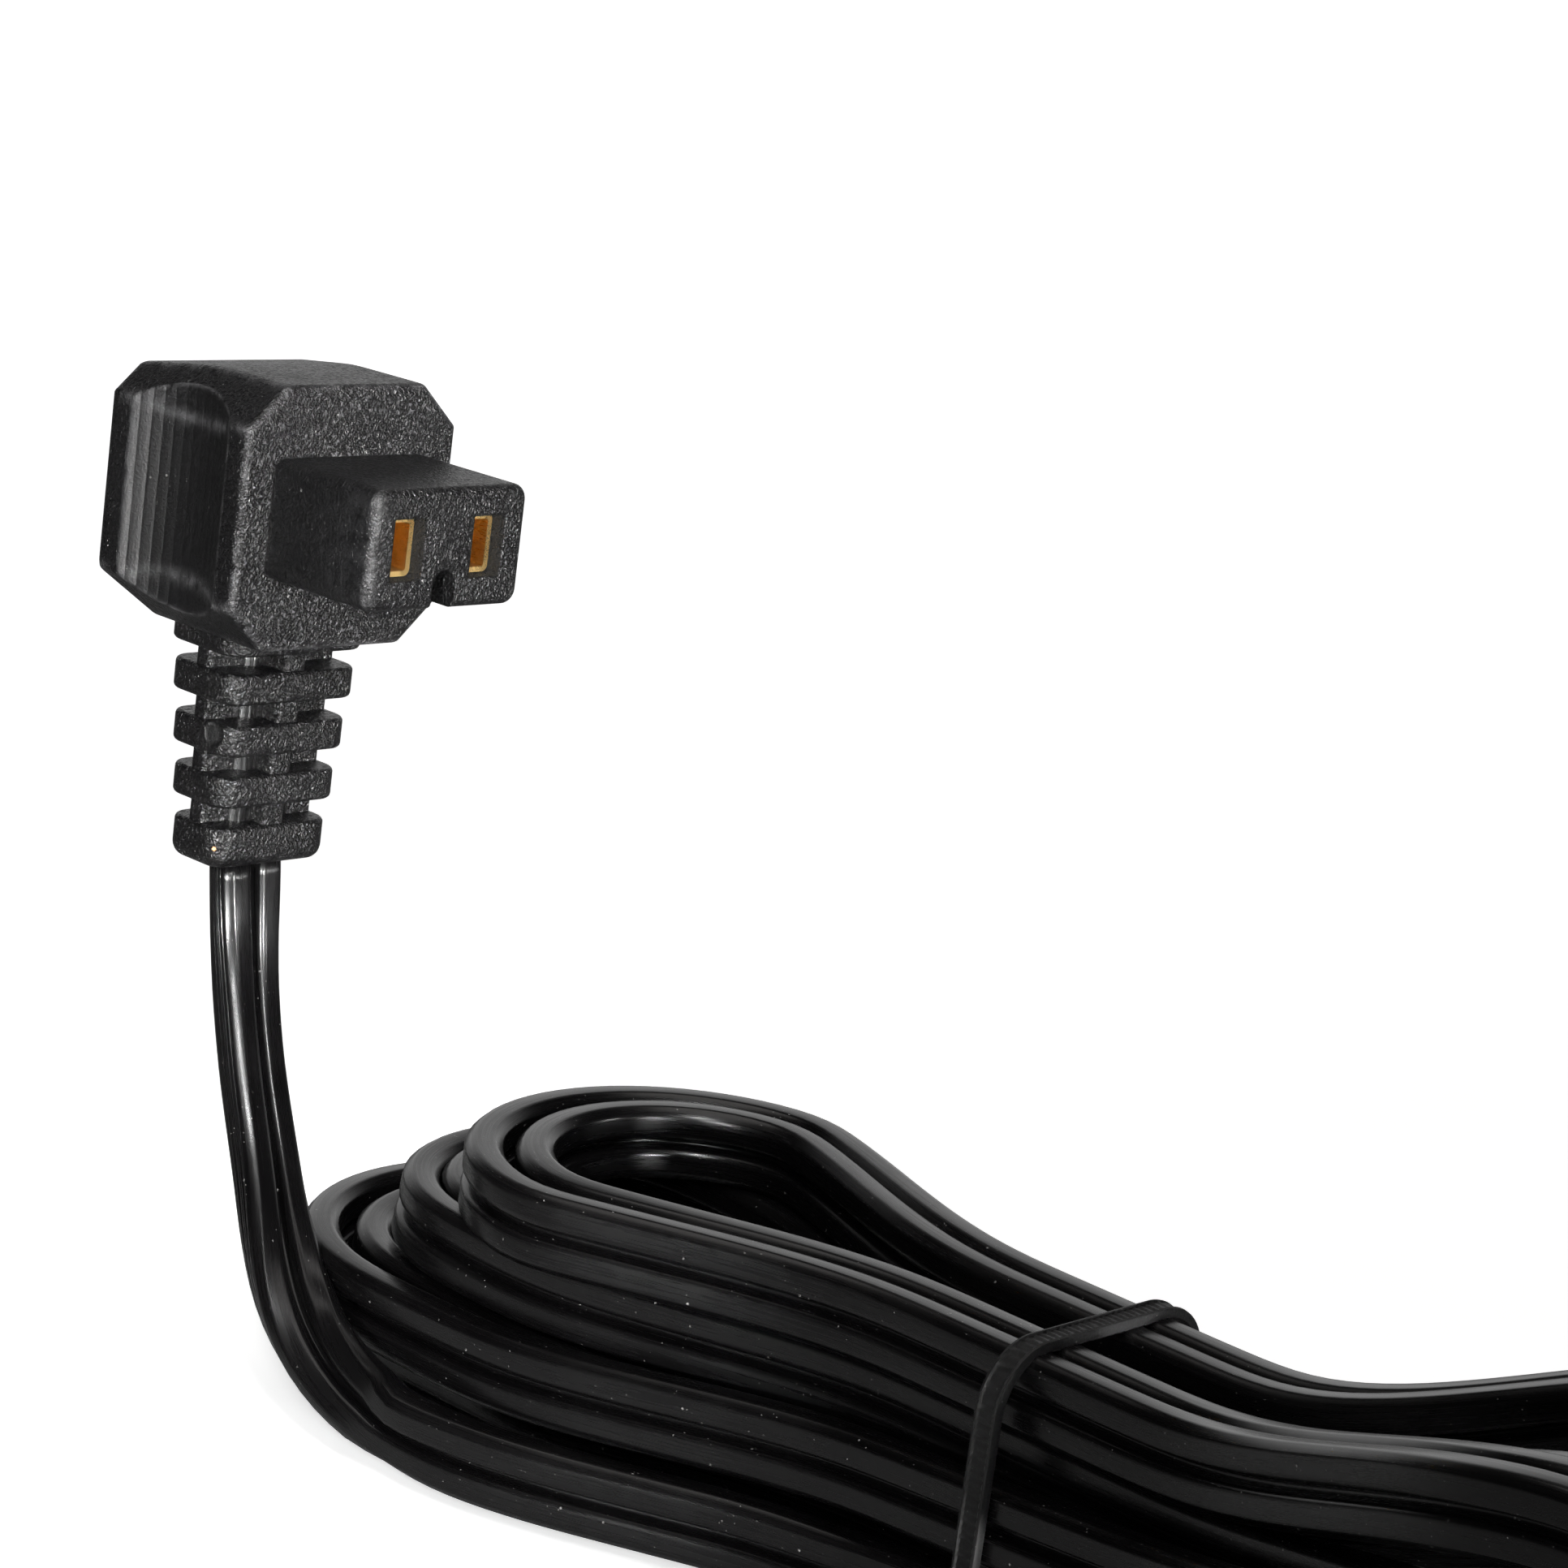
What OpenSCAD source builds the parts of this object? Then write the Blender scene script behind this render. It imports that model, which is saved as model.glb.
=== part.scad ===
// Shore power cord: right-angle two-slot appliance socket on a flat twin cord,
// the cord tied in a hank, and a moulded two-blade plug on the far end.
// Millimetres, +Z up. Origin: centre of the mating face of the socket's nose.
// The socket mates towards -Y; its cord leaves it downwards.

/* [Nose] */
// width of the nose
nose_w = 16.9; // [14:0.1:20]
// height of the nose
nose_h = 10.3; // [8:0.1:13]
// how far the nose stands out of the body
nose_len = 13.0; // [9:0.1:18]
// rounding of the nose's long edges
nose_edge = 0.9; // [0.4:0.1:1.5]
// rounding of the nose's front edges
nose_lip = 0.9; // [0.2:0.1:1.2]
// width of the keyway under the nose
key_w = 2.5; // [1.5:0.1:3.5]
// height of the keyway under the nose
key_h = 3.3; // [2:0.1:4.2]
// depth of the keyway from the mating face
key_len = 11.0; // [5:0.5:12.5]

/* [Contacts] */
// distance between the two slots
slot_pitch = 8.7; // [8:0.1:10]
// width of each slot
slot_w = 3.4; // [2.8:0.1:4]
// height of each slot
slot_h = 5.2; // [4:0.1:6]
// depth of each slot
slot_depth = 11.0; // [8:0.5:12]
// play between contact and slot, each side
contact_play = 0.1; // [0.05:0.05:0.2]
// sheet thickness of the contacts
contact_sheet = 0.45; // [0.3:0.05:0.6]
// how far the contacts sit behind the mating face
contact_back = 1.5; // [0.5:0.1:3]
// how far the spring bump stands into the contact
spring_rise = 0.45; // [0.2:0.05:0.8]
// width of the contact's tail
tail_w = 2.2; // [1.6:0.1:3]
// thickness of the contact's tail
tail_t = 0.5; // [0.3:0.05:0.8]
// outer radius of each crimp
crimp_r = 1.05; // [0.9:0.05:1.5]
// length of each crimp
crimp_len = 3.4; // [2:0.1:5]

/* [Carrier] */
// width of the carrier's block inside the body
block_w = 14.8; // [13:0.1:16]
// height of the carrier's block inside the body
block_h = 8.4; // [7:0.1:9.5]
// depth of the carrier's block inside the body
block_d = 5.5; // [3:0.1:7]

/* [Socket body] */
// width of the body
body_w = 23.1; // [20:0.1:26]
// top of the body above the nose's centre
body_top = 11.2; // [9:0.1:13]
// bottom of the body below the nose's centre
body_bot = 11.6; // [9:0.1:13]
// depth of the body behind its front face
body_d = 19.0; // [15:0.1:22]
// chamfer of the body's long edges, across
cham_x = 4.0; // [2:0.1:5]
// chamfer of the body's long edges, up
cham_z = 3.7; // [2:0.1:5]
// rounding of the body's front edges
front_round = 0.8; // [0.4:0.1:1.5]
// depth of the level part of the body's top
top_flat = 9.5; // [4:0.5:14]
// fall of the body's top from there to the back
top_fall = 1.3; // [0.2:0.1:1.5]
// chamfer of the body's upright back edges
back_edge = 1.4; // [0.4:0.1:2]
// lower back chamfer, depth
back_cut_y = 3.9; // [1:0.1:6]
// lower back chamfer, height
back_cut_z = 4.4; // [1:0.1:6]

/* [Grips] */
// depth of each side's finger scoop
scoop_depth = 2.2; // [0.5:0.05:2.6]
// front-to-back size of each scoop
scoop_chord = 13.1; // [8:0.1:14]
// distance of the scoop's middle behind the front face
scoop_mid = 9.1; // [7:0.1:11]
// top of the scoop
scoop_top = 9.9; // [7:0.1:11]
// bottom of the scoop
scoop_bot = 10.4; // [6:0.1:11]
// flutes in each scoop
flute_n = 8; // [4:1:10]
// depth of the flutes
flute_depth = 0.2; // [0.1:0.05:0.4]

/* [Strain relief] */
// distance of the cord's line behind the mating face
relief_y = 21.6; // [19:0.05:24]
// bottom of the collar below the nose's centre
collar_z = 13.0; // [12:0.1:14]
// top of the first rib below the nose's centre
rib_z = 14.6; // [14:0.1:16]
// distance from rib to rib
rib_pitch = 4.63; // [3.5:0.01:5.2]
// height of each rib
rib_h = 2.75; // [1.5:0.05:3.4]
// height of the last rib
last_h = 3.7; // [2:0.1:4.5]
// number of ribs
rib_n = 4; // [3:1:6]
// width of the first rib
rib_w = 14.5; // [12:0.1:16]
// depth of the first rib
rib_d = 9.0; // [7:0.1:10]
// how much narrower each next rib is
rib_fall = 0.57; // [0:0.01:0.8]
// corner radius of the ribs
rib_r = 2.0; // [1.4:0.1:3.4]
// thickness of the web along the relief
web_t = 1.8; // [1.2:0.1:2.6]
// how far the web's edges stay inside the ribs
web_in = 0.4; // [0.3:0.05:1.2]
// thickness of the posts in front of and behind the cord
post_t = 2.3; // [1.5:0.1:3]
// how far the posts stay inside the ribs
post_in = 0.5; // [0.2:0.1:1]

/* [Cord] */
// width of the flat twin cord
cord_w = 6.2; // [5.6:0.1:7]
// thickness of the flat twin cord
cord_t = 3.1; // [2.8:0.1:3.5]
// radius of each bundle of strands
strand_r = 0.6; // [0.4:0.05:0.8]
// radius of each single insulated leg
leg_r = 1.45; // [1.2:0.05:1.5]

/* [Hank] */
// half width of the hank's outer loops
hank_r = 19; // [17:0.5:24]
// step from loop to loop
loop_step = 4.0; // [3.8:0.1:5]
// step from layer to layer
layer_step = 6.7; // [6.6:0.1:8]
// run between the end bends
run_len = 128; // [100:1:200]
// how far the waist is drawn in on each side
waist_in = 9; // [4:0.5:9]
// rise of each layer over the one below, beyond the tie
fan_rise = 4.2; // [0:0.2:5]
// height of the floor below the nose's centre
floor_z = 76; // [70:1:90]

/* [Cable tie] */
// width of the strap
tie_w = 2.5; // [2:0.1:4]
// thickness of the strap
tie_t = 1.0; // [0.8:0.1:1.4]
// play between the strap and the hank
tie_play = 0.15; // [0.1:0.05:0.5]
// inner corner radius of the strap
tie_corner = 1.3; // [1:0.1:2]
// size of the head across the strap
head_w = 4.6; // [4:0.1:6]

/* [Plug] */
// distance of the plug's face from the mating face of the nose
plug_far = 290; // [270:1:320]
// width of the plug's body
plug_w = 26; // [24:0.5:30]
// thickness of the plug's body
plug_t = 16; // [14:0.5:20]
// length of the plug's body
plug_len = 29; // [26:0.5:34]
// length of the plug's strain relief
plug_relief = 20; // [18:0.5:26]
// distance between the blades
blade_pitch = 12.7; // [12.7:0.1:12.8]
// thickness of the blades
blade_t = 1.5; // [1.4:0.05:1.6]
// width of the narrow blade
blade_line_w = 6.35; // [6.2:0.05:6.5]
// width of the wide blade
blade_neutral_w = 7.94; // [7.8:0.02:8]
// how far the blades stand out
blade_len = 17; // [15.9:0.1:18.2]
// hole in each blade
blade_hole = 3.2; // [3:0.1:3.4]
// distance of the hole from the plug's face
hole_far = 11.7; // [11:0.1:12.5]

/* [Hidden] */
$fn = 64;
half_w = body_w / 2;
back_y = nose_len + body_d;
block_y = nose_len + block_d;
contact_len = slot_depth - contact_back;
contact_w = slot_w - 2 * contact_play;
contact_h = slot_h - 2 * contact_play;
crimp_top = -3.0;
crimp_bot = crimp_top - crimp_len;
lobe_r = cord_t / 2;
lobe_x = (cord_w - cord_t) / 2;
leg_x = slot_pitch / 2;
leg_top = crimp_bot - 0.4;
leg_turn = leg_top - 1.0;
twin_top = -13.4;
relief_end = -(rib_z + (rib_n - 1) * rib_pitch + last_h);
tie_gap = tie_t + tie_play;
layer_z0 = -floor_z + tie_gap + cord_w / 2;
hank_x = 16;
hank_y = -2;
waist_y = -66;
waist_flat = 12;
waist_end = 50;
lead_end = -59;
layers = 4;
loops = 2;
seg = 24;
plug_x = 4;
plug_z = -floor_z + plug_t / 2;
plug_y = -plug_far;
plug_cord_y = plug_y + plug_len + plug_relief;
plug_rib_pitch = 4.2;
plug_crimp_y = 10;

// ---------- shared shapes ----------
module slab(x, y, z, at = [0, 0, 0]) translate(at) cube([x, y, z], center = true);
module bar_y(r, y0, y1, x = 0, z = 0) translate([x, y1, z]) rotate([90, 0, 0]) cylinder(r = r, h = y1 - y0);
module bar_z(r, z0, z1, x = 0, y = 0) translate([x, y, z0]) cylinder(r = r, h = z1 - z0);
module bar_x(r, x0, x1, y = 0, z = 0) translate([x0, y, z]) rotate([0, 90, 0]) cylinder(r = r, h = x1 - x0);
module rounded(w, d, r) union() {
    square([w, d - 2 * r], center = true);
    square([w - 2 * r, d], center = true);
    for (i = [-1, 1], j = [-1, 1]) translate([i * (w / 2 - r), j * (d / 2 - r)]) circle(r = r);
}
// a profile drawn in X and Z, pushed from y0 back to y1
module push_y(y0, y1) translate([0, y1, 0]) rotate([90, 0, 0]) linear_extrude(y1 - y0) children();
// a rod between two points of the plane y = 0
module rod(a, b, r) {
    d = b - a;
    translate([a[0], 0, a[1]]) rotate([0, atan2(d[0], d[1]), 0]) cylinder(r = r, h = norm(d));
}
// takes the square edge off a front face at distance d along the direction ang
module edge_cutter(ang, d, r, y, len) rotate([0, -ang, 0]) difference() {
    translate([d - r, y - 1, -len / 2]) cube([r + 1.5, r + 1, len]);
    translate([d - r, y + r, -len / 2 - 1]) cylinder(r = r, h = len + 2);
}

// ---------- wiring, drawn downwards from a crimp (shared by socket and plug) ----------
module twin(z0, z1) {
    for (s = [-1, 1]) bar_z(lobe_r, z0, z1, s * lobe_x);
    translate([-lobe_x, -lobe_r * 0.5, z0]) cube([2 * lobe_x, lobe_r, z1 - z0]);
}
module legs(x, top, turn, low) for (s = [-1, 1]) {
    bar_z(leg_r, turn - 0.3, top, s * x);
    rod([s * x, turn], [s * lobe_x, low], leg_r - 0.05);
}
module strands(s, x, top, turn, low, end) {
    bar_z(strand_r, turn - 0.2, top, s * x);
    rod([s * x, turn], [s * lobe_x, low], strand_r - 0.02);
    bar_z(strand_r, end, low + 0.2, s * lobe_x);
}

// ---------- socket ----------
module nose_block() difference() {
    push_y(0, nose_len) rounded(nose_w, nose_h, nose_edge);
    for (a = [0, 180]) edge_cutter(a, nose_w / 2, nose_lip, 0, 30);
    for (a = [90, 270]) edge_cutter(a, nose_h / 2, nose_lip, 0, 40);
}
module contact_carrier() color("#26272b") difference() {
    union() {
        nose_block();
        slab(block_w, block_d, block_h, [0, nose_len + block_d / 2, 0]);
    }
    for (s = [-1, 1]) {
        slab(slot_w, slot_depth + 2, slot_h, [s * slot_pitch / 2, slot_depth / 2 - 1, 0]);
        slab(tail_w, block_y - slot_depth + 2, tail_t, [s * slot_pitch / 2, (block_y + slot_depth) / 2, 0]);
    }
    bar_y(key_w / 2, -1, key_len, 0, -nose_h / 2 + key_h - key_w / 2);
    slab(key_w, key_len + 1, key_h - key_w / 2 + 1, [0, (key_len - 1) / 2, -nose_h / 2 + (key_h - key_w / 2 - 1) / 2]);
}
module contact(s) translate([s * slot_pitch / 2, 0, 0]) difference() {
    union() {
        difference() {
            push_y(contact_back, slot_depth) rounded(contact_w, contact_h, 0.6);
            push_y(contact_back - 1, slot_depth - contact_sheet)
                rounded(contact_w - 2 * contact_sheet, contact_h - 2 * contact_sheet, 0.3);
        }
        // spring bump on the inner wall
        intersection() {
            push_y(contact_back, slot_depth - 0.2) rounded(contact_w - 0.1, contact_h - 0.1, 0.55);
            bar_z(3.4, -1.3, 1.3, -s * (contact_w / 2 - contact_sheet - spring_rise + 3.4), contact_back + 3.6);
        }
        slab(tail_w, relief_y - slot_depth - crimp_r + tail_t + 0.4, tail_t,
            [0, (slot_depth - 0.4 + relief_y - crimp_r + tail_t) / 2, 0]);
        slab(tail_w, tail_t, -crimp_bot + tail_t / 2,
            [0, relief_y - crimp_r + tail_t / 2, (crimp_bot + tail_t / 2) / 2]);
        bar_z(crimp_r, crimp_bot, crimp_top, 0, relief_y);
    }
    bar_z(strand_r, crimp_bot - 1, crimp_top + 0.6, 0, relief_y);
}
module contact_line() color("#c79a3e") contact(-1);
module contact_neutral() color("#c79a3e") contact(1);
// the room the contacts' tails and crimps take up behind the carrier
module tail_room() for (s = [-1, 1]) translate([s * slot_pitch / 2, 0, 0]) {
    slab(tail_w, relief_y - crimp_r + tail_t - nose_len, tail_t, [0, (nose_len + relief_y - crimp_r + tail_t) / 2, 0]);
    slab(tail_w, tail_t, -crimp_bot + tail_t / 2,
        [0, relief_y - crimp_r + tail_t / 2, (crimp_bot + tail_t / 2) / 2]);
    bar_z(crimp_r, crimp_bot, crimp_top, 0, relief_y);
}
module socket_wiring() translate([0, relief_y, 0]) {
    legs(leg_x, leg_top, leg_turn, twin_top);
    twin(relief_end, twin_top + 0.6);
}
module socket_strands(s) translate([0, relief_y, 0])
    strands(s, leg_x, crimp_top + 0.6, leg_turn, twin_top, relief_end);
module socket_strands_line() color("#b5733c") socket_strands(-1);
module socket_strands_neutral() color("#b5733c") socket_strands(1);
module socket_cord_end() color("#1b1b1e") difference() {
    socket_wiring();
    for (s = [-1, 1]) socket_strands(s);
}
module body_front() polygon([
    [-half_w + cham_x, body_top], [half_w - cham_x, body_top], [half_w, body_top - cham_z],
    [half_w, -body_bot + cham_z], [half_w - cham_x, -body_bot], [-half_w + cham_x, -body_bot],
    [-half_w, -body_bot + cham_z], [-half_w, body_top - cham_z]]);
module body_side() polygon([
    [nose_len, -body_bot], [back_y - back_cut_y, -body_bot], [back_y, -body_bot + back_cut_z],
    [back_y, body_top - top_fall - 1.1], [back_y - 1, body_top - top_fall + 0.1], [nose_len + top_flat, body_top],
    [nose_len, body_top]]);
module body_plan() polygon([
    [-half_w, nose_len], [half_w, nose_len], [half_w, back_y - back_edge], [half_w - back_edge, back_y],
    [-half_w + back_edge, back_y], [-half_w, back_y - back_edge]]);
module body_cutters() {
    ca = atan2(cham_x, cham_z);
    ct = (cham_z * (half_w - cham_x) + cham_x * body_top) / norm([cham_x, cham_z]);
    cb = (cham_z * (half_w - cham_x) + cham_x * body_bot) / norm([cham_x, cham_z]);
    for (c = [[0, half_w], [ca, ct], [90, body_top], [180 - ca, ct], [180, half_w],
            [180 + ca, cb], [270, body_bot], [360 - ca, cb]])
        edge_cutter(c[0], c[1], front_round, nose_len, 34);
}
module scoop(s) {
    arc = (scoop_chord * scoop_chord / 4 + scoop_depth * scoop_depth) / (2 * scoop_depth);
    mid = nose_len + scoop_mid;
    translate([s * (half_w + arc - scoop_depth), mid, 0]) {
        bar_z(arc, -scoop_bot, scoop_top);
        for (i = [0 : flute_n - 1]) {
            a = (i - (flute_n - 1) / 2) * scoop_chord / (flute_n + 0.6) / arc * 180 / PI;
            rotate([0, 0, (s > 0 ? 180 : 0) + a]) bar_z(0.75, -scoop_bot, scoop_top, arc - 0.75 + flute_depth);
        }
    }
}
module relief_rib(w, d, h, last) if (last) intersection() {
    translate([0, 0, -h]) linear_extrude(h) rounded(w, d, rib_r);
    rotate([90, 0, 0]) translate([0, 0, -w]) linear_extrude(2 * w) polygon([[-w / 2, 1], [w / 2, 1],
        [w / 2, -h + 1.1], [w / 2 - 1, -h], [-w / 2 + 1, -h], [-w / 2, -h + 1.1]]);
    rotate([90, 0, 90]) translate([0, 0, -w]) linear_extrude(2 * w) polygon([[-d / 2, 1], [d / 2, 1],
        [d / 2, -h + 1.1], [d / 2 - 1, -h], [-d / 2 + 1, -h], [-d / 2, -h + 1.1]]);
} else translate([0, 0, -h]) linear_extrude(h) rounded(w, d, rib_r);
// ribs, web and posts hanging from z = top, the first rib starting at z = -first
module relief(top, first, pitch, n, w, d, fall, h, end_h) {
    for (i = [0 : n - 1]) translate([0, 0, -first - i * pitch])
        relief_rib(w - i * fall, d - i * fall, i == n - 1 ? end_h : h, i == n - 1);
    for (i = [0 : n - 1]) {
        z0 = -first - i * pitch - 0.2;
        z1 = i == 0 ? top : -first - (i - 1) * pitch - h + 0.2;
        translate([0, 0, (z0 + z1) / 2]) {
            slab(w - (i - 0.5) * fall - 2 * web_in, web_t, z1 - z0);
            slab(post_t, d - (i - 0.5) * fall - 2 * post_in, z1 - z0);
        }
    }
}
module connector_overmould() color("#1d1e21") difference() {
    union() {
        difference() {
            intersection() {
                push_y(nose_len, back_y) body_front();
                translate([-half_w - 1, 0, 0]) rotate([90, 0, 90]) linear_extrude(body_w + 2) body_side();
                translate([0, 0, -body_bot - 1]) linear_extrude(body_top + body_bot + 2) body_plan();
            }
            body_cutters();
            for (s = [-1, 1]) scoop(s);
        }
        translate([0, relief_y, 0]) {
            translate([0, 0, -collar_z]) linear_extrude(collar_z - 8) rounded(rib_w + 0.6, rib_d + 0.5, rib_r);
            relief(-collar_z + 0.2, rib_z, rib_pitch, rib_n, rib_w, rib_d, rib_fall, rib_h, last_h);
        }
    }
    slab(block_w, block_d, block_h, [0, nose_len + block_d / 2, 0]);
    tail_room();
    socket_wiring();
    for (s = [-1, 1]) socket_strands(s);
    // gate mark on the second rib's side
    bar_x(0.8, -rib_w / 2 - 0.5, -rib_w / 2 + 1.2, relief_y + 0.4, -rib_z - rib_pitch - rib_h / 2);
}

// ---------- cord ----------
twin_pts = concat(
    [for (a = [-72, -36, 0, 36, 72]) [lobe_x + lobe_r * cos(a), lobe_r * sin(a)]], [[0, lobe_r * 0.5]],
    [for (a = [108, 144, 180, 216, 252]) [-lobe_x + lobe_r * cos(a), lobe_r * sin(a)]], [[0, -lobe_r * 0.5]]);
flat_pts = [[cord_w / 2 - 0.2, -lobe_r + 0.25], [cord_w / 2 - 0.2, lobe_r - 0.25], [0, lobe_r * 0.5],
    [-cord_w / 2 + 0.2, lobe_r - 0.25], [-cord_w / 2 + 0.2, -lobe_r + 0.25], [0, -lobe_r * 0.5]];
function unit(v) = v / norm(v);
function ease(x) = let (c = max(0, min(1, x))) c * c * (3 - 2 * c);
function spline(a, b, c, d, t) = 0.5 * ((2 * b) + (c - a) * t + (2 * a - 5 * b + 4 * c - d) * t * t
    + (3 * b - a - 3 * c + d) * t * t * t);
function route(p, n) = let (m = len(p), q = concat([2 * p[0] - p[1]], p, [2 * p[m - 1] - p[m - 2]]))
    concat([for (i = [0 : m - 2], j = [0 : n - 1]) spline(q[i], q[i + 1], q[i + 2], q[i + 3], j / n)], [p[m - 1]]);
function heading(p, i) = unit(p[min(i + 1, len(p) - 1)] - p[max(i - 1, 0)]);
// a tube through the points p, its wide side turned by turn(i) degrees from level
module sweep(p, turns, sect) {
    n = len(p);
    k = len(sect);
    rings = [for (i = [0 : n - 1]) let (t = heading(p, i), a0 = [1, 0, 0] - t * t[0], a = unit(a0), b = cross(t, a),
        w = cos(turns[i]) * a + sin(turns[i]) * b, h = cross(w, t)) for (s = sect) p[i] + w * s[0] + h * s[1]];
    faces = concat(
        [for (i = [0 : n - 2], j = [0 : k - 1]) let (e = (j + 1) % k) [i * k + j, i * k + k + j, i * k + k + e]],
        [for (i = [0 : n - 2], j = [0 : k - 1]) let (e = (j + 1) % k) [i * k + j, i * k + k + e, i * k + e]],
        [for (j = [0 : k - 1]) [n * k, j, (j + 1) % k]],
        [for (j = [0 : k - 1]) [n * k + 1, (n - 1) * k + (j + 1) % k, (n - 1) * k + j]]);
    polyhedron(points = concat(rings, [p[0], p[n - 1]]), faces = faces, convexity = 10);
}
// the hank: t counts loops; a quarter of each count is one run or one end bend
function pinch(y) = 1 - ease((abs(y - waist_y) - waist_flat) / (waist_end - waist_flat));
function fan(y) = fan_rise * ease((waist_y - waist_flat - y) / 44);
function layer_of(t) = let (k = floor(t / loops)) k < 1 ? 0 : min(layers - 1, k - 1 + ease((t - k * loops) * 4));
function ring_of(t) = let (k = floor(t / loops), u = t - k * loops, f = u - floor(u),
    m = floor(u) + max(0, f - 0.25) / 0.75) hank_r - loop_step * (k % 2 == 0 ? m : loops - m);
// the upper layers' near ends stay shorter
function near_y(t) = hank_y - 1.3 * pow(layer_of(t), 2);
function far_y(t) = hank_y - run_len - 1.2 * layer_of(t);
function placed(t, side, r, y) = [hank_x + side * (r - waist_in * pinch(y)), y,
    layer_z0 + (layer_step + fan(y)) * layer_of(t)];
function hank_at(t) = let (f = t - floor(t), r = ring_of(t), q = floor(f * 4), x = f * 4 - q,
    ny = near_y(t), fy = far_y(t), c = cos(180 * x), s = sin(180 * x))
    q == 0 ? placed(t, -1, r, ny + (fy - ny) * x) :
    q == 1 ? [hank_x - r * c, fy - r * s, placed(t, -1, r, fy)[2]] :
    q == 2 ? placed(t, 1, r, fy + (ny - fy) * x) :
        [hank_x + r * c, ny + r * s, placed(t, 1, r, ny)[2]];
hank_end = loops * layers + 0.25;
lead_t = (hank_y - lead_end) / run_len / 4;
lead_pts = [[0, relief_y, relief_end], [0.2, 21.3, -36], [0.1, 20.6, -40], [-0.4, 19.05, -44.5], [-1.4, 16.15, -50],
    [-2.9, 11.8, -56], [-5.2, 6.2, -61.6], [-7.4, -0.6, -66.6], [-8, -8, -70], [-7.4, -17, -71.5], [-5, -26, layer_z0],
    [-1, -35, layer_z0], [3.4, -44, layer_z0], [5.8, -52, layer_z0], hank_at(lead_t)];
lead_route = route(lead_pts, 3);
lead_turn = [for (i = [0 : len(lead_route) - 1]) 90 * ease((i - 12) / 16)];
t_steps = concat([lead_t, lead_t + 0.014], [for (i = [ceil(lead_t * seg + 0.5) : seg * hank_end - 1]) i / seg], [hank_end]);
hank_route = [for (t = t_steps) hank_at(t)];
tail_pts = [hank_at(hank_end), [-3, -141, -39.6], [-3, -149, -42], [-2.8, -157, -46.4], [-2.2, -165, -52],
    [-1.2, -173, -58], [0, -181, -63.8], [1.4, -189, -68.8], [2.8, -197, -72.3], [3.6, -206, -74.1], [4, -215, -74],
    [4, -223, -72.2], [4, -230, -69.6], [4, -236, -68.3], [plug_x, plug_cord_y, plug_z]];
tail_route = route(tail_pts, 2);
tail_turn = [for (i = [0 : len(tail_route) - 1]) 90 - 90 * ease((i - 2) / 18)];
module cord_lead() color("#17171a") sweep(lead_route, lead_turn, twin_pts);
module cord_hank() color("#17171a") sweep_up(hank_route, flat_pts);
module cord_tail() color("#17171a") sweep(tail_route, tail_turn, twin_pts);
// the same tube with its wide side kept upright
module sweep_up(p, sect) {
    n = len(p);
    k = len(sect);
    rings = [for (i = [0 : n - 1]) let (t = heading(p, i), w = unit([0, 0, 1] - t * t[2]), h = cross(w, t))
        for (s = sect) p[i] + w * s[0] + h * s[1]];
    faces = concat(
        [for (i = [0 : n - 2], j = [0 : k - 1]) let (e = (j + 1) % k) [i * k + j, i * k + k + j, i * k + k + e]],
        [for (i = [0 : n - 2], j = [0 : k - 1]) let (e = (j + 1) % k) [i * k + j, i * k + k + e, i * k + e]],
        [for (j = [0 : k - 1]) [n * k, j, (j + 1) % k]],
        [for (j = [0 : k - 1]) [n * k + 1, (n - 1) * k + (j + 1) % k, (n - 1) * k + j]]);
    polyhedron(points = concat(rings, [p[0], p[n - 1]]), faces = faces, convexity = 10);
}
function total(p) = let (d = [for (i = [1 : len(p) - 1]) norm(p[i] - p[i - 1])]) d * [for (i = d) 1];
// least gap between two stretches of the hank, taken on points of its centre line
function gap_of(a, b) = norm([max(0, norm([a[0] - b[0], a[1] - b[1]]) - cord_t), max(0, abs(a[2] - b[2]) - cord_w)]);
fine = [for (i = [8 : 48 * hank_end]) hank_at(i / 48)];
echo(least_gap = min([for (i = [0 : len(fine) - 21], j = [i + 20 : len(fine) - 1]) gap_of(fine[i], fine[j])]));
echo(lead = total(lead_route), hank = total(hank_route), tail = total(tail_route));

// ---------- cable tie ----------
module cable_tie() color("#222225") {
    w = 2 * (hank_r - waist_in) + cord_t;
    h = (layers - 1) * layer_step + cord_w;
    zc = layer_z0 + (layers - 1) * layer_step / 2;
    hx = hank_x + w / 2 + tie_play;
    translate([hank_x, 0, zc]) difference() {
        push_y(waist_y - tie_w / 2, waist_y + tie_w / 2)
            rounded(w + 2 * tie_gap, h + 2 * tie_gap, tie_corner + tie_t);
        push_y(waist_y - tie_w, waist_y + tie_w) rounded(w + 2 * tie_play, h + 2 * tie_play, tie_corner);
    }
    // head, and the cut end standing out of it
    slab(3.4, head_w, head_w, [hx + 1.7, waist_y, zc - 4]);
    slab(tie_t, tie_w, 6.5, [hx + 2, waist_y, zc]);
}

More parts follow.
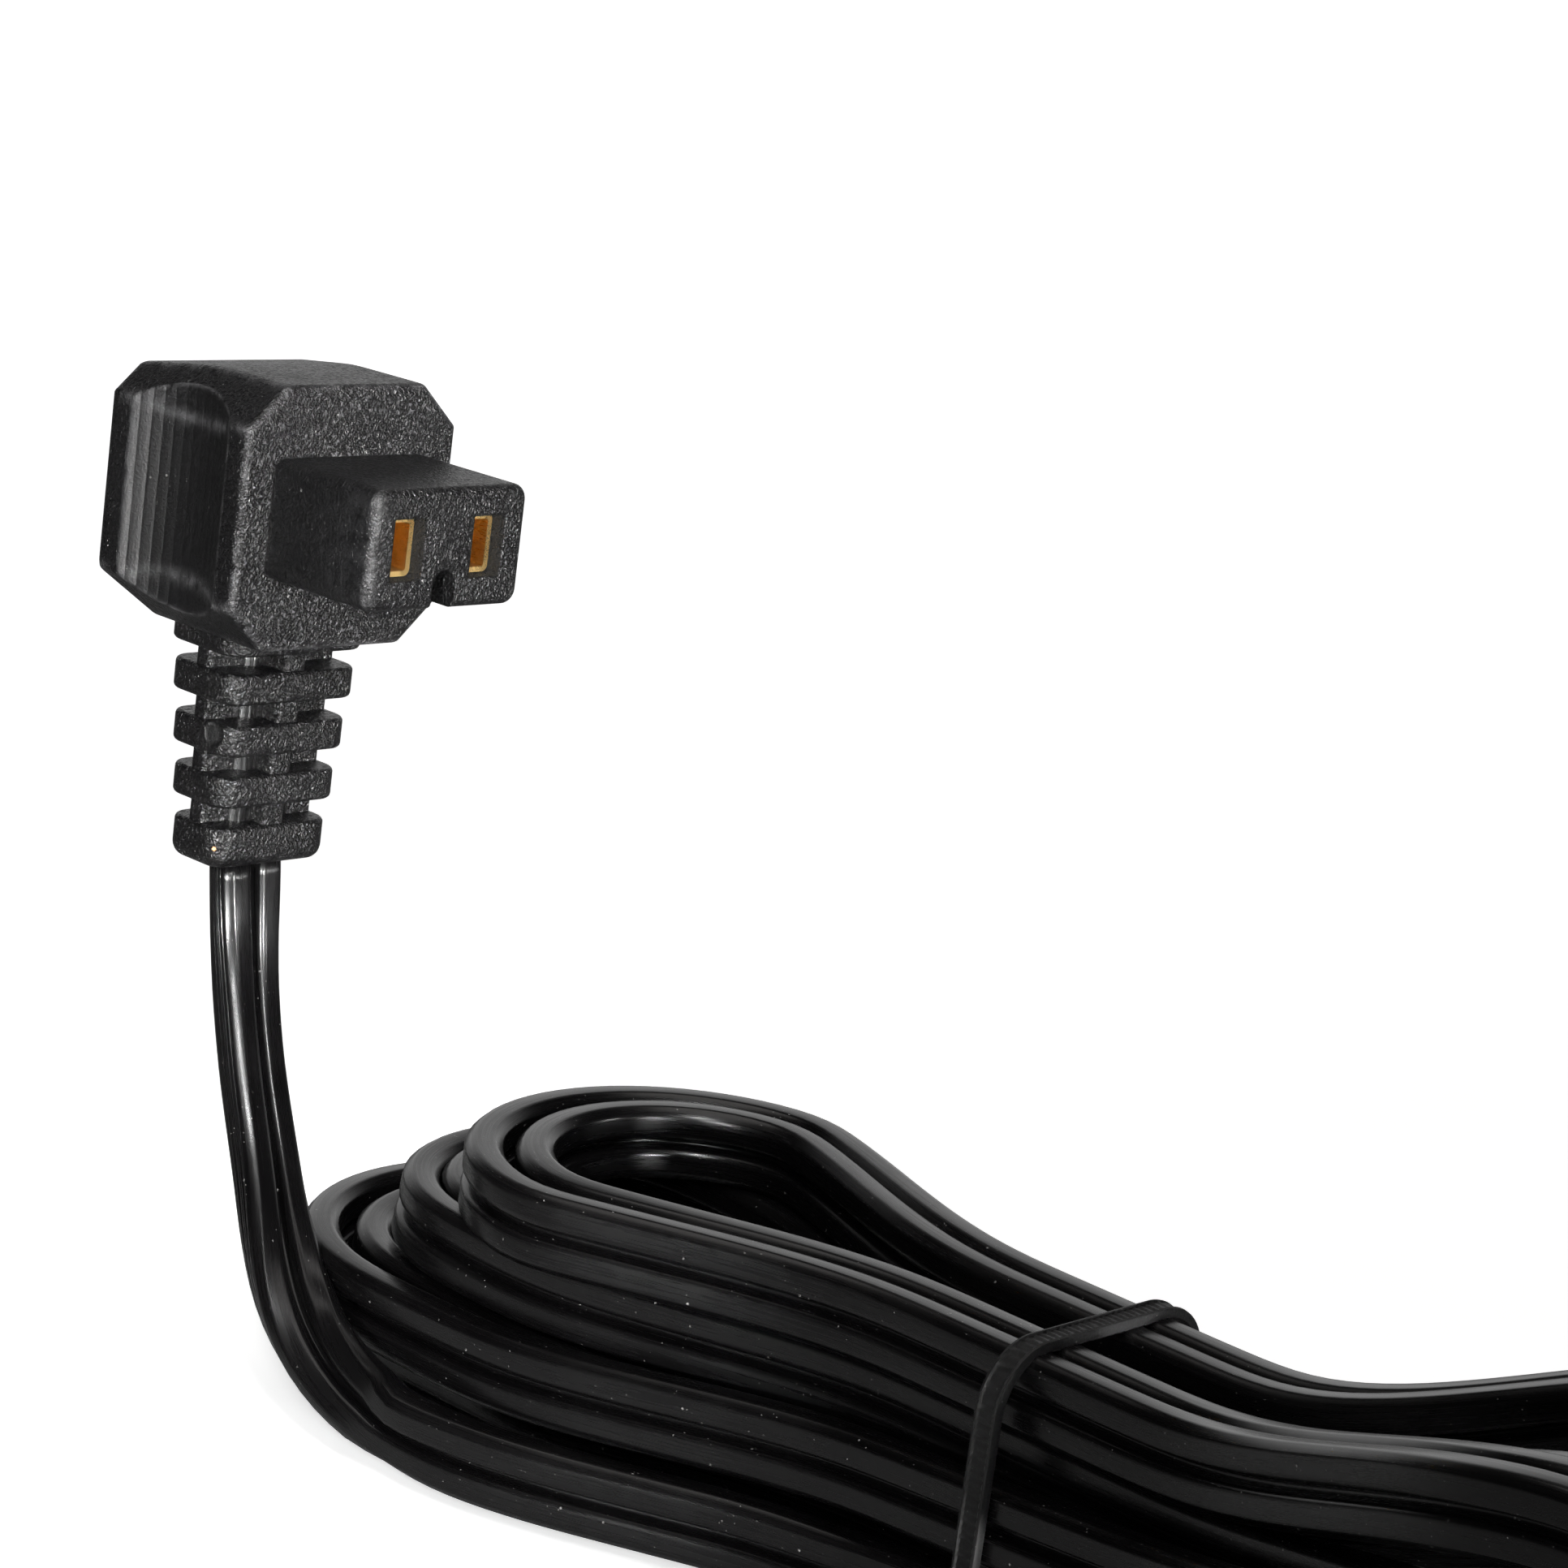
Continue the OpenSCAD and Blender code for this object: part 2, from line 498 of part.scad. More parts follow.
// ---------- plug ----------
module at_plug() translate([plug_x, plug_y, plug_z]) children();
module plug_wiring_room() rotate([90, 0, 0]) {
    legs(blade_pitch / 2, -plug_crimp_y - crimp_len - 0.4, -plug_crimp_y - crimp_len - 1.4, -plug_len + 3.4);
    twin(-plug_len - plug_relief, -plug_len + 4);
}
module plug_strands(s) at_plug() rotate([90, 0, 0])
    strands(s, blade_pitch / 2, -plug_crimp_y + 0.6, -plug_crimp_y - crimp_len - 1.4, -plug_len + 3.4,
        -plug_len - plug_relief);
module plug_strands_line() color("#b5733c") plug_strands(-1);
module plug_strands_neutral() color("#b5733c") plug_strands(1);
module plug_cord_end() color("#1b1b1e") difference() {
    at_plug() plug_wiring_room();
    for (s = [-1, 1]) plug_strands(s);
}
bridge_y = 1.2;
bridge_d = 5;
module bridge_block() slab(20, bridge_d, 10.4, [0, bridge_y + bridge_d / 2, 0]);
module blade_shape(w) {
    translate([-blade_t / 2, 0, 0]) rotate([90, 0, 90]) linear_extrude(blade_t) polygon([
        [bridge_y + bridge_d, -w / 2], [bridge_y + bridge_d, w / 2], [-blade_len + 1.4, w / 2],
        [-blade_len, w / 2 - 1.4], [-blade_len, -w / 2 + 1.4], [-blade_len + 1.4, -w / 2]]);
    slab(blade_t, plug_crimp_y - bridge_y - bridge_d + 0.6, 2.4,
        [0, (plug_crimp_y + bridge_y + bridge_d + 0.2) / 2, 0]);
    bar_y(crimp_r, plug_crimp_y, plug_crimp_y + crimp_len);
}
module blade(s, w) at_plug() translate([s * blade_pitch / 2, 0, 0]) difference() {
    blade_shape(w);
    bar_y(strand_r, plug_crimp_y - 0.6, plug_crimp_y + crimp_len + 1);
    bar_x(blade_hole / 2, -2, 2, -hole_far, 0);
}
module plug_blade_line() color("#c9c9cc") blade(-1, blade_line_w);
module plug_blade_neutral() color("#c9c9cc") blade(1, blade_neutral_w);
module blades_room() for (b = [[-1, blade_line_w], [1, blade_neutral_w]])
    translate([b[0] * blade_pitch / 2, 0, 0]) blade_shape(b[1]);
module plug_bridge() color("#3a3a3e") at_plug() difference() {
    bridge_block();
    blades_room();
}
module plug_overmould() color("#1d1e21") at_plug() difference() {
    union() {
        intersection() {
            translate([0, 0, -plug_t / 2]) linear_extrude(plug_t) polygon([
                [-plug_w / 2 + 1.5, 0], [plug_w / 2 - 1.5, 0], [plug_w / 2, 1.5], [plug_w / 2, 13],
                [plug_w / 2 - 1.2, 15], [plug_w / 2 - 1.2, 17], [9, plug_len - 3], [7.4, plug_len],
                [-7.4, plug_len], [-9, plug_len - 3], [-plug_w / 2 + 1.2, 17], [-plug_w / 2 + 1.2, 15],
                [-plug_w / 2, 13], [-plug_w / 2, 1.5]]);
            translate([-plug_w / 2, 0, 0]) rotate([90, 0, 90]) linear_extrude(plug_w) polygon([
                [0, -plug_t / 2 + 1.5], [1.5, -plug_t / 2], [18, -plug_t / 2], [plug_len, -4.6],
                [plug_len, 4.6], [18, plug_t / 2], [1.5, plug_t / 2], [0, plug_t / 2 - 1.5]]);
            push_y(0, plug_len) polygon([
                [-plug_w / 2 + 3, plug_t / 2], [plug_w / 2 - 3, plug_t / 2], [plug_w / 2, plug_t / 2 - 3],
                [plug_w / 2, -plug_t / 2 + 3], [plug_w / 2 - 3, -plug_t / 2], [-plug_w / 2 + 3, -plug_t / 2],
                [-plug_w / 2, -plug_t / 2 + 3], [-plug_w / 2, plug_t / 2 - 3]]);
        }
        rotate([90, 0, 0]) relief(-plug_len + 0.2, plug_len + 2.2, plug_rib_pitch, rib_n, 13.5, 8.6, rib_fall,
            rib_h, plug_relief - 2.2 - (rib_n - 1) * plug_rib_pitch);
    }
    bridge_block();
    blades_room();
    plug_wiring_room();
    for (s = [-1, 1]) rotate([90, 0, 0]) strands(s, blade_pitch / 2, -plug_crimp_y + 0.6,
        -plug_crimp_y - crimp_len - 1.4, -plug_len + 3.4, -plug_len - plug_relief);
    // three grip grooves on each broad side
    for (y = [6.5, 9.5, 12.5], s = [-1, 1]) bar_x(0.7, -8.5, 8.5, y, s * (plug_t / 2 + 0.2));
}

connector_overmould();
contact_carrier();
contact_line();
contact_neutral();
socket_cord_end();
socket_strands_line();
socket_strands_neutral();
cord_lead();
cord_hank();
cord_tail();
cable_tie();
plug_overmould();
plug_bridge();
plug_blade_line();
plug_blade_neutral();
plug_cord_end();
plug_strands_line();
plug_strands_neutral();
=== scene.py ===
"""A shore power cord with an upright two-slot connector, its hank of flat twin cord and its two-pin plug."""

import logging
import math
from dataclasses import dataclass, field
from enum import Enum
from typing import Dict, List, Optional, Sequence, Tuple

import bpy
import numpy as np
from mathutils import Matrix


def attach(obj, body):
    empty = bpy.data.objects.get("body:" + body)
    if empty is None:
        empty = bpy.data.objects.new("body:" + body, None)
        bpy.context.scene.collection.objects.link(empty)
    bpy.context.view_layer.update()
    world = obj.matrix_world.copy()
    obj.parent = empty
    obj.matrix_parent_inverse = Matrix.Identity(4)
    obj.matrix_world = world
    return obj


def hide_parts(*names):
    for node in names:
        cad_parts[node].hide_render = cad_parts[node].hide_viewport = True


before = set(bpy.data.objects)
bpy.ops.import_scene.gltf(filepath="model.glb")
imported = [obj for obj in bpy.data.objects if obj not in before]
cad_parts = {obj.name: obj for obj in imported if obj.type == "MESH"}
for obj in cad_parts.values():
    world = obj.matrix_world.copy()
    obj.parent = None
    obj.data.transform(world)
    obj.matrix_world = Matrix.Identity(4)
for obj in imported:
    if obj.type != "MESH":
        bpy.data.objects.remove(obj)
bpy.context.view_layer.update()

MM = 0.001
LOG = logging.getLogger("power_cord")

Triple = Tuple[float, float, float]
Colour = Tuple[float, float, float, float]
Array = np.ndarray
Piece = bpy.types.Object
Material = bpy.types.Material
Tree = bpy.types.NodeTree
Node = bpy.types.Node
Wire = bpy.types.NodeSocket
Shape = Tuple[Array, List[Array]]  # points, and faces as arrays of point numbers


# ---------------------------------------------------------------- meshes
def unit(v: Array) -> Array:
    """Returns v, each row divided by its length."""
    return v / np.maximum(np.linalg.norm(v, axis=-1, keepdims=True), 1e-12)


def ease(x: Array) -> Array:
    """Returns c*c*(3 - 2c) with c = x held between 0 and 1."""
    c = np.clip(x, 0.0, 1.0)
    return c * c * (3.0 - 2.0 * c)


def way_along(points: Array) -> Array:
    """Returns how far each point lies along the line through them, from the first one."""
    return np.concatenate([[0], np.cumsum(np.linalg.norm(np.diff(points, axis=0), axis=1))])


def closed(ring: Array) -> Array:
    """Returns the ring with its first point once more at its end."""
    return np.concatenate([ring, ring[:1]])


def lifted(rings: Array, heights: Array) -> Array:
    """Returns flat rings with the height of each as third coordinate."""
    return np.concatenate([rings, np.broadcast_to(heights[:, None, None], rings.shape[:2] + (1,))], -1)


def grid_quads(rows: int, cols: int, wrap: bool) -> Array:
    """The quads of a grid of rows by cols points, numbered row by row.

    Args:
        rows: points along the first parameter.
        cols: points along the second parameter.
        wrap: True where the last column joins the first.

    Returns:
        An array of four point numbers a quad.
    """
    i, j = np.meshgrid(np.arange(rows - 1), np.arange(cols if wrap else cols - 1), indexing="ij")
    k = (j + 1) % cols
    return np.stack([i * cols + j, i * cols + k, (i + 1) * cols + k, (i + 1) * cols + j], -1).reshape(-1, 4)


def set_mask(mesh: bpy.types.Mesh, name: str, values: Array) -> None:
    """Stores one value for each point of a mesh under that name."""
    attribute = mesh.attributes.new(name, "FLOAT", "POINT")
    attribute.data.foreach_set("value", np.asarray(values, np.float32).ravel())


def smooth(mesh: bpy.types.Mesh) -> None:
    """Shades every face of a mesh smooth."""
    mesh.polygons.foreach_set("use_smooth", np.ones(len(mesh.polygons), bool))


def make_piece(
    name: str,
    points: Array,
    faces: Sequence[Array],
    masks: Optional[Dict[str, Array]] = None,
    corner_uv: Optional[Array] = None,
    sharp: Optional[float] = None,
) -> Piece:
    """Puts points and faces into a mesh object at the origin.

    Args:
        name: the piece's name.
        points: an array of points in millimetres.
        faces: arrays of quads or triangles, as point numbers.
        masks: one value for each point, by attribute name.
        corner_uv: one (u, v) in metres for each corner, in the faces' order.
        sharp: the angle in degrees past which an edge stays hard, or None.

    Returns:
        The new object.
    """
    mesh = bpy.data.meshes.new(name)
    mesh.vertices.add(len(points))
    mesh.vertices.foreach_set("co", (np.asarray(points, float) * MM).astype(np.float32).ravel())
    corners = np.concatenate([np.asarray(f).ravel() for f in faces]).astype(np.int32)
    sizes = np.concatenate([np.full(len(f), np.asarray(f).shape[1]) for f in faces])
    mesh.loops.add(len(corners))
    mesh.loops.foreach_set("vertex_index", corners)
    mesh.polygons.add(len(sizes))
    mesh.polygons.foreach_set("loop_start", (np.cumsum(sizes) - sizes).astype(np.int32))
    mesh.update(calc_edges=True)
    smooth(mesh)
    if corner_uv is not None:
        layer = mesh.uv_layers.new(name="Lay")
        layer.uv.foreach_set("vector", corner_uv.astype(np.float32).ravel())
    for key, value in (masks or {}).items():
        set_mask(mesh, key, value)
    if sharp is not None:
        mesh.set_sharp_from_angle(angle=math.radians(sharp))
    mesh.validate()
    piece = bpy.data.objects.new(name, mesh)
    bpy.context.scene.collection.objects.link(piece)
    return piece


def loft(rings: Array, flip: bool = False) -> Shape:
    """A skin over closed rings of equally many points, with a fan over each end.

    Args:
        rings: an array of n rings by k points by 3.
        flip: True to turn the faces round.

    Returns:
        The points, and the faces as quads and triangles.
    """
    n, k, _ = rings.shape
    points = np.concatenate([rings.reshape(-1, 3), rings[0].mean(0)[None], rings[-1].mean(0)[None]])
    here = np.arange(k)
    after = (here + 1) % k
    first = np.stack([np.full(k, n * k), after, here], -1)
    last = np.stack([np.full(k, n * k + 1), (n - 1) * k + here, (n - 1) * k + after], -1)
    faces = [grid_quads(n, k, True), np.concatenate([first, last])]
    return points, [f[:, ::-1] for f in faces] if flip else faces


def joined(parts: Sequence[Shape]) -> Shape:
    """Returns one set of points and faces made of several."""
    points, faces, start = [], [], 0
    for p, fs in parts:
        points.append(p)
        faces += [f + start for f in fs]
        start += len(p)
    return np.concatenate(points), faces


def rounded_ring(w: Array, d: Array, r: Array, steps: int = 8) -> Array:
    """Rounded rectangles, one for each entry of w, d and r, counter-clockwise.

    A corner is a quarter circle of radius r about a point that lies r inside both sides,
    with one more point on the straight just before and after it, which keeps the flats flat.

    Args:
        w: widths.
        d: depths.
        r: corner radii.
        steps: points in a corner.

    Returns:
        An array of len(w) by 4*(steps + 2) by 2.
    """
    w, d, r = (np.atleast_1d(np.asarray(v, float))[:, None] for v in (w, d, r))
    quarter = np.linspace(0, math.pi / 2, steps)
    most_hold, hold_share = 0.12, 0.1
    hold = np.minimum(most_hold, np.minimum(w, d)[..., None] * hold_share)
    sides = []
    for turns, (sx, sy) in enumerate(((1, 1), (-1, 1), (-1, -1), (1, -1))):
        t = quarter + turns * math.pi / 2
        arc = np.stack([sx * (w / 2 - r) + r * np.cos(t), sy * (d / 2 - r) + r * np.sin(t)], -1)
        before = arc[:, :1] + hold * np.array([math.sin(t[0]), -math.cos(t[0])])
        after = arc[:, -1:] + hold * np.array([-math.sin(t[-1]), math.cos(t[-1])])
        sides.append(np.concatenate([before, arc, after], 1))
    return np.concatenate(sides, 1)


def block(size: Triple, at: Triple, corner: float, edge: float, steps: int = 6) -> Shape:
    """A block along Z with rounded corners in plan and rounded rims.

    The rim follows a quarter circle of radius edge: the ring is drawn in by
    edge*(1 - sin a) while it climbs by edge*(1 - cos a). A ring just past each
    rim keeps the walls and the ends flat.

    Args:
        size: width, depth and height.
        at: the middle of the block.
        corner: radius of the corners in plan.
        edge: radius of the rims.
        steps: points in a quarter circle.

    Returns:
        The points and the faces.
    """
    a = np.linspace(0, math.pi / 2, steps)
    low_in, high_in = edge * (1 - np.sin(a)), edge * (1 - np.cos(a))
    low_up, high_up = edge * (1 - np.cos(a)), size[2] - edge + edge * np.sin(a)
    hold_in, hold_up = min(0.15, min(size[:2]) * 0.1), min(0.1, size[2] * 0.1)
    middle = [edge + hold_in]
    inset = np.concatenate([middle, low_in, low_in[-1:], high_in[:1], high_in, middle])
    climb = np.concatenate([[0.0], low_up, [edge + hold_up], [size[2] - edge - hold_up], high_up, [size[2]]])
    radius = np.maximum(corner - inset, 0.05)
    rings = rounded_ring(size[0] - 2 * inset, size[1] - 2 * inset, radius, steps)
    return loft(lifted(rings, climb - size[2] / 2) + np.asarray(at, float))


def fillet(a: Array, b: Array, r: float) -> Array:
    """The distance to the common part of two solids, its edge rounded.

    In words: where both distances are within r of the surface, the result is
    the length of the two of them counted from r inside, less r.
    """
    return np.minimum(-r, np.maximum(a, b)) + np.hypot(np.maximum(a + r, 0), np.maximum(b + r, 0))


# ---------------------------------------------------------------- shader groups
class Wiring:
    """Adds nodes to a tree and joins them, in few words."""

    def __init__(self, tree: Tree) -> None:
        """Keeps the tree."""
        self.tree = tree

    def node(self, kind: str, **settings: object) -> Node:
        """Adds a node of that kind, named without ShaderNode, and sets its properties."""
        made = self.tree.nodes.new(kind if kind.startswith("NodeGroup") else "ShaderNode" + kind)
        for key, value in settings.items():
            setattr(made, key, value)
        return made

    def put(self, node: Node, **values: object) -> Node:
        """Sets inputs or joins sockets to them; i0 is the first, and an underscore stands for a space."""
        for key, value in values.items():
            numbered = key[0] == "i" and key[1:].isdigit()
            target = node.inputs[int(key[1:]) if numbered else key.replace("_", " ")]
            if isinstance(value, Wire):
                self.tree.links.new(value, target)
            else:
                target.default_value = value
        return node

    def math(self, operation: str, a: object, b: object = 0.0, c: object = 0.0) -> Wire:
        """Returns the result of a Math node."""
        return self.put(self.node("Math", operation=operation), i0=a, i1=b, i2=c).outputs[0]

    def times(self, a: object, b: object, plus: Optional[object] = None) -> Wire:
        """Returns a times b, and more where plus is given."""
        return self.math("MULTIPLY", a, b) if plus is None else self.math("MULTIPLY_ADD", a, b, plus)

    def vector(self, operation: str, a: object, b: object = (0.0, 0.0, 0.0)) -> Node:
        """Adds a Vector Math node; its vector is the first output and its value the second."""
        return self.put(self.node("VectorMath", operation=operation), i0=a, i1=b)

    def mask(self, name: str) -> Wire:
        """Returns a value that the piece stores at its points."""
        return self.node("Attribute", attribute_name=name).outputs["Fac"]

    def bump(self, height: Wire, rise: float, strength: float = 1.0) -> Wire:
        """Returns the normal of a surface raised by height times rise, in metres."""
        return self.put(self.node("Bump"), Height=height, Distance=rise, Strength=strength).outputs[0]

    def noise(self, vector: Wire, scale: object, detail: float, rough: float, warp: float = 0.0) -> Wire:
        """Returns the value of a noise, from 0 to 1."""
        made = self.node("TexNoise")
        self.put(made, Vector=vector, Scale=scale, Detail=detail, Roughness=rough, Distortion=warp)
        return made.outputs[0]

    def remap(self, value: Wire, low: float, high: float, to_low: float = 0.0, to_high: float = 1.0) -> Wire:
        """Returns value carried from low..high to to_low..to_high, held at both ends."""
        made = self.node("MapRange", clamp=True)
        return self.put(made, i0=value, i1=low, i2=high, i3=to_low, i4=to_high).outputs[0]

    def blend(self, share: object, a: object, b: object) -> Wire:
        """Returns colour a carried towards colour b by share."""
        made = self.node("Mix", data_type="RGBA", blend_type="MIX")
        return self.put(made, i0=share, i6=a, i7=b).outputs[2]


Started = Tuple[Tree, Wiring, Dict[str, Wire], Node]


def group(name: str, inputs: Dict[str, float], outputs: Sequence[str]) -> Started:
    """Starts a node group with a Vector input, named values and named results.

    Args:
        name: the group's name.
        inputs: each value's name and what it is when nothing is joined to it.
        outputs: the results' names.

    Returns:
        The tree, its wiring, its inputs by name and its output node.
    """
    tree = bpy.data.node_groups.new(name, "ShaderNodeTree")
    face = tree.interface
    face.new_socket(name="Vector", in_out="INPUT", socket_type="NodeSocketVector")
    for label, value in inputs.items():
        face.new_socket(name=label, in_out="INPUT", socket_type="NodeSocketFloat").default_value = value
    for label in outputs:
        face.new_socket(name=label, in_out="OUTPUT", socket_type="NodeSocketFloat")
    w = Wiring(tree)
    source = w.node("NodeGroupInput")
    return tree, w, {o.name: o for o in source.outputs if o.name}, w.node("NodeGroupOutput")


def grain_group() -> Tree:
    """Moulded leather-like grain: warped cells of two sizes over a fine tooth, mixed by a mask.

    Returns:
        The group, with Height and Pits as outputs.
    """
    scales = {"Fine Scale": 5200.0, "Coarse Scale": 2600.0}
    tree, w, i, out = group("Moulded grain", {**scales, "Coarse Mask": 0.0}, ["Height", "Pits"])
    fine = w.remap(w.noise(i["Vector"], i["Fine Scale"], 1.0, 0.5, 0.3), 0.35, 0.65)
    pebble = w.remap(w.noise(i["Vector"], i["Coarse Scale"], 1.2, 0.45, 0.9), 0.3, 0.7)
    warp = w.node("TexNoise")
    w.put(warp, Vector=i["Vector"], Scale=900.0, Detail=2.0)
    shift = w.put(w.vector("SCALE", warp.outputs[1]), Scale=0.0006)
    place = w.vector("ADD", i["Vector"], shift.outputs[0])
    cells = w.node("TexVoronoi", feature="SMOOTH_F1")
    w.put(cells, Vector=place.outputs[0], Scale=i["Coarse Scale"], Smoothness=0.8, Randomness=1.0)
    domes = w.remap(cells.outputs[0], 0.1, 0.8, 1.0, 0.0)
    coarse = w.times(domes, 0.35, w.times(pebble, 0.8))
    soft = w.times(fine, 0.3)
    rest = w.math("SUBTRACT", 1.0, i["Coarse Mask"])
    height = w.math("ADD", w.times(coarse, i["Coarse Mask"]), w.times(soft, rest))
    w.put(out, Height=height, Pits=w.remap(height, 0.1, 0.45, 1.0, 0.0))
    return tree


def wear_group() -> Tree:
    """Handled edges and dulled patches: a broken edge mask, and slow blotches. The vinyl uses the edge mask as edge
    wear and as a painted highlight.

    Returns:
        The group, with the broken edge mask (wear and painted highlight) and Blotch as outputs.
    """
    tree, w, i, out = group("Handling wear and glint", {"Edge": 0.0, "Amount": 0.5}, ["Worn", "Blotch"])
    broken = w.remap(w.noise(i["Vector"], 700.0, 4.0, 0.65), 0.38, 0.66)
    worn = w.times(w.times(i["Edge"], broken), i["Amount"])
    w.put(out, Worn=worn, Blotch=w.remap(w.noise(i["Vector"], 95.0, 3.0, 0.55), 0.3, 0.7))
    return tree


def flute_group() -> Tree:
    """Upright flutes: low reeds side by side with a crisp valley between, and drawn streaks on them.

    Returns:
        The group, with Height as its output.
    """
    tree, w, i, out = group("Flutes", {"Count": 0.0, "Mask": 0.0}, ["Height"])
    part = w.math("SUBTRACT", w.math("FRACT", i["Count"]), 0.5)
    reed = w.times(w.times(part, part), -4.0, 1.0)
    long_way = w.vector("MULTIPLY", i["Vector"], (1.0, 1.0, 0.06))
    streak = w.noise(long_way.outputs[0], 4200.0, 2.0, 0.6)
    fade = w.remap(i["Count"], -0.9, 10.5, 1.0, 0.6)
    both = w.times(streak, 0.4, w.times(reed, fade))
    w.put(out, Height=w.times(both, i["Mask"]))
    return tree


def dust_group() -> Tree:
    """Loose dust: sparse pale specks of two sizes.

    Returns:
        The group, with Specks as its output.
    """
    tree, w, i, out = group("Loose dust", {"Amount": 0.5}, ["Specks"])
    dots = []
    for scale, inner, outer, weight in ((620.0, 0.05, 0.08, 1.0), (1500.0, 0.07, 0.11, 0.8)):
        cells = w.put(w.node("TexVoronoi", feature="F1"), Vector=i["Vector"], Scale=scale)
        dots.append(w.remap(cells.outputs[0], inner, outer, weight, 0.0))
    dots = w.math("MAXIMUM", *dots)
    pick = w.remap(w.noise(i["Vector"], 260.0, 2.0, 0.5), 0.5, 0.62)
    w.put(out, Specks=w.times(w.times(dots, pick), i["Amount"]))
    return tree


class Effects:
    """The shared shader groups, each built once."""

    def __init__(self) -> None:
        """Builds the groups."""
        self.grain = grain_group()
        self.wear = wear_group()
        self.dust = dust_group()
        self.flutes = flute_group()


def start_material(name: str) -> Tuple[Material, Wiring, Node, Wire]:
    """Starts a node material with a Principled shader.

    Args:
        name: the material's name.

    Returns:
        The material, its wiring, its Principled shader and its object coordinates.
    """
    material = bpy.data.materials.new(name)
    material.use_nodes = True
    material.node_tree.nodes.clear()
    w = Wiring(material.node_tree)
    shader = w.node("BsdfPrincipled")
    w.put(w.node("OutputMaterial"), Surface=shader.outputs[0])
    return material, w, shader, w.node("TexCoord").outputs["Object"]


def use_group(w: Wiring, tree: Tree, **values: object) -> bpy.types.NodeOutputs:
    """Places a shared group in a material with its own values and returns its results."""
    return w.put(w.node("Group", node_tree=tree), **values).outputs


def lighter(colour: Colour, times: float) -> Colour:
    """Returns a colour so many times as light."""
    return tuple(min(1.0, c * times) for c in colour[:3]) + (1.0,)


@dataclass(frozen=True)
class MouldedVinyl:
    """Soft black vinyl with moulded grain, worn edges and a little dust, with painted highlights on its edges and
    grain tops and painted shade in the slots and the gate dimple.

    Lengths are in metres, except gate and speck, which are places in millimetres.
    gate_drop counts in reliefs.
    """

    name: str
    base: Colour = (0.0014, 0.0013, 0.0015, 1.0)
    # colour of rubbed edges, which also serves as their painted highlight
    worn: Colour = (0.08, 0.079, 0.081, 1.0)
    # colour of the grain's highest points, a painted highlight
    glint_tops: Colour = (0.065, 0.064, 0.067, 1.0)
    dusty: Colour = (0.42, 0.41, 0.4, 1.0)
    shadow: Colour = (0.0004, 0.0004, 0.0004, 1.0)
    roughness: float = 0.31
    coarse_scale: float = 2900.0
    fine_scale: float = 4200.0
    relief: float = 0.00017
    # share of the broken edge mask: edge wear, and also painted highlight
    wear: float = 0.9
    dust: float = 0.5
    specular: float = 0.45
    flute_rise: float = 0.00005
    gate: Optional[Triple] = None
    gate_rim: Tuple[float, float] = (0.0007, 0.0011)
    gate_drop: float = -3.0
    speck: Triple = (0.0, 0.0, 0.0)
    speck_rim: Tuple[float, float] = (0.00013, 0.00022)
    speck_colour: Colour = (0.9, 0.42, 0.18, 1.0)

    def material(self, effects: Effects) -> Material:
        """Builds the material; the masks coarse, edge, sleek, flute and deep steer it, edge also as a painted
        highlight and deep as painted shade.
        """
        material, w, shader, place = start_material(self.name)
        coarse, edge, sleek = (w.mask(name) for name in ("coarse", "edge", "sleek"))
        scales = {"Fine_Scale": self.fine_scale, "Coarse_Scale": self.coarse_scale}
        grain = use_group(w, effects.grain, Vector=place, Coarse_Mask=coarse, **scales)
        worn = use_group(w, effects.wear, Vector=place, Edge=edge, Amount=self.wear)
        dust = use_group(w, effects.dust, Vector=place, Amount=self.dust)
        flutes = use_group(w, effects.flutes, Vector=place, Count=w.mask("flute"), Mask=sleek)

        colour = w.blend(worn["Blotch"], self.base, lighter(self.base, 1.35))
        # painted highlight: where the grain is coarse, its highest points are lightened in place of their sparkle
        glint_tops = w.times(w.remap(grain["Height"], 0.78, 1.0), coarse)
        colour = w.blend(glint_tops, colour, self.glint_tops)
        # painted highlight as well as wear: the broken edge mask lightens edges and lips towards the worn colour
        colour = w.blend(worn["Worn"], colour, self.worn)
        colour = w.blend(dust["Specks"], colour, self.dusty)

        rough = w.times(worn["Blotch"], 0.07, self.roughness - 0.03)
        rough = w.times(grain["Pits"], 0.25, rough)
        rough = w.times(dust["Specks"], 0.3, rough)
        rough = w.times(sleek, 0.1, rough)

        flat = w.times(sleek, -0.8, 1.0)
        height = w.times(grain["Height"], flat)
        height = w.times(flutes["Height"], self.flute_rise / self.relief, height)

        # painted shade: the deep mask (the slots' insides) and the gate dimple take the colour towards the near-black
        # shadow colour
        deep = w.mask("deep")
        if self.gate:
            dimple = self.near(w, place, self.gate, self.gate_rim)
            deep = w.math("MAXIMUM", deep, dimple)
            height = w.times(dimple, self.gate_drop, height)
            colour = w.blend(self.near(w, place, self.speck, self.speck_rim), colour, self.speck_colour)
        colour = w.blend(deep, colour, self.shadow)
        rough = w.times(deep, 0.6, rough)
        w.put(shader, Base_Color=colour, Roughness=rough, Normal=w.bump(height, self.relief))
        w.put(shader, Specular_IOR_Level=self.specular, IOR=1.5)
        return material

    @staticmethod
    def near(w: Wiring, place: Wire, spot: Triple, rim: Tuple[float, float]) -> Wire:
        """Returns 1 within the first radius of a spot, and 0 past the second."""
        away = w.vector("DISTANCE", place, tuple(v * MM for v in spot))
        return w.remap(away.outputs[1], *rim, 1.0, 0.0)


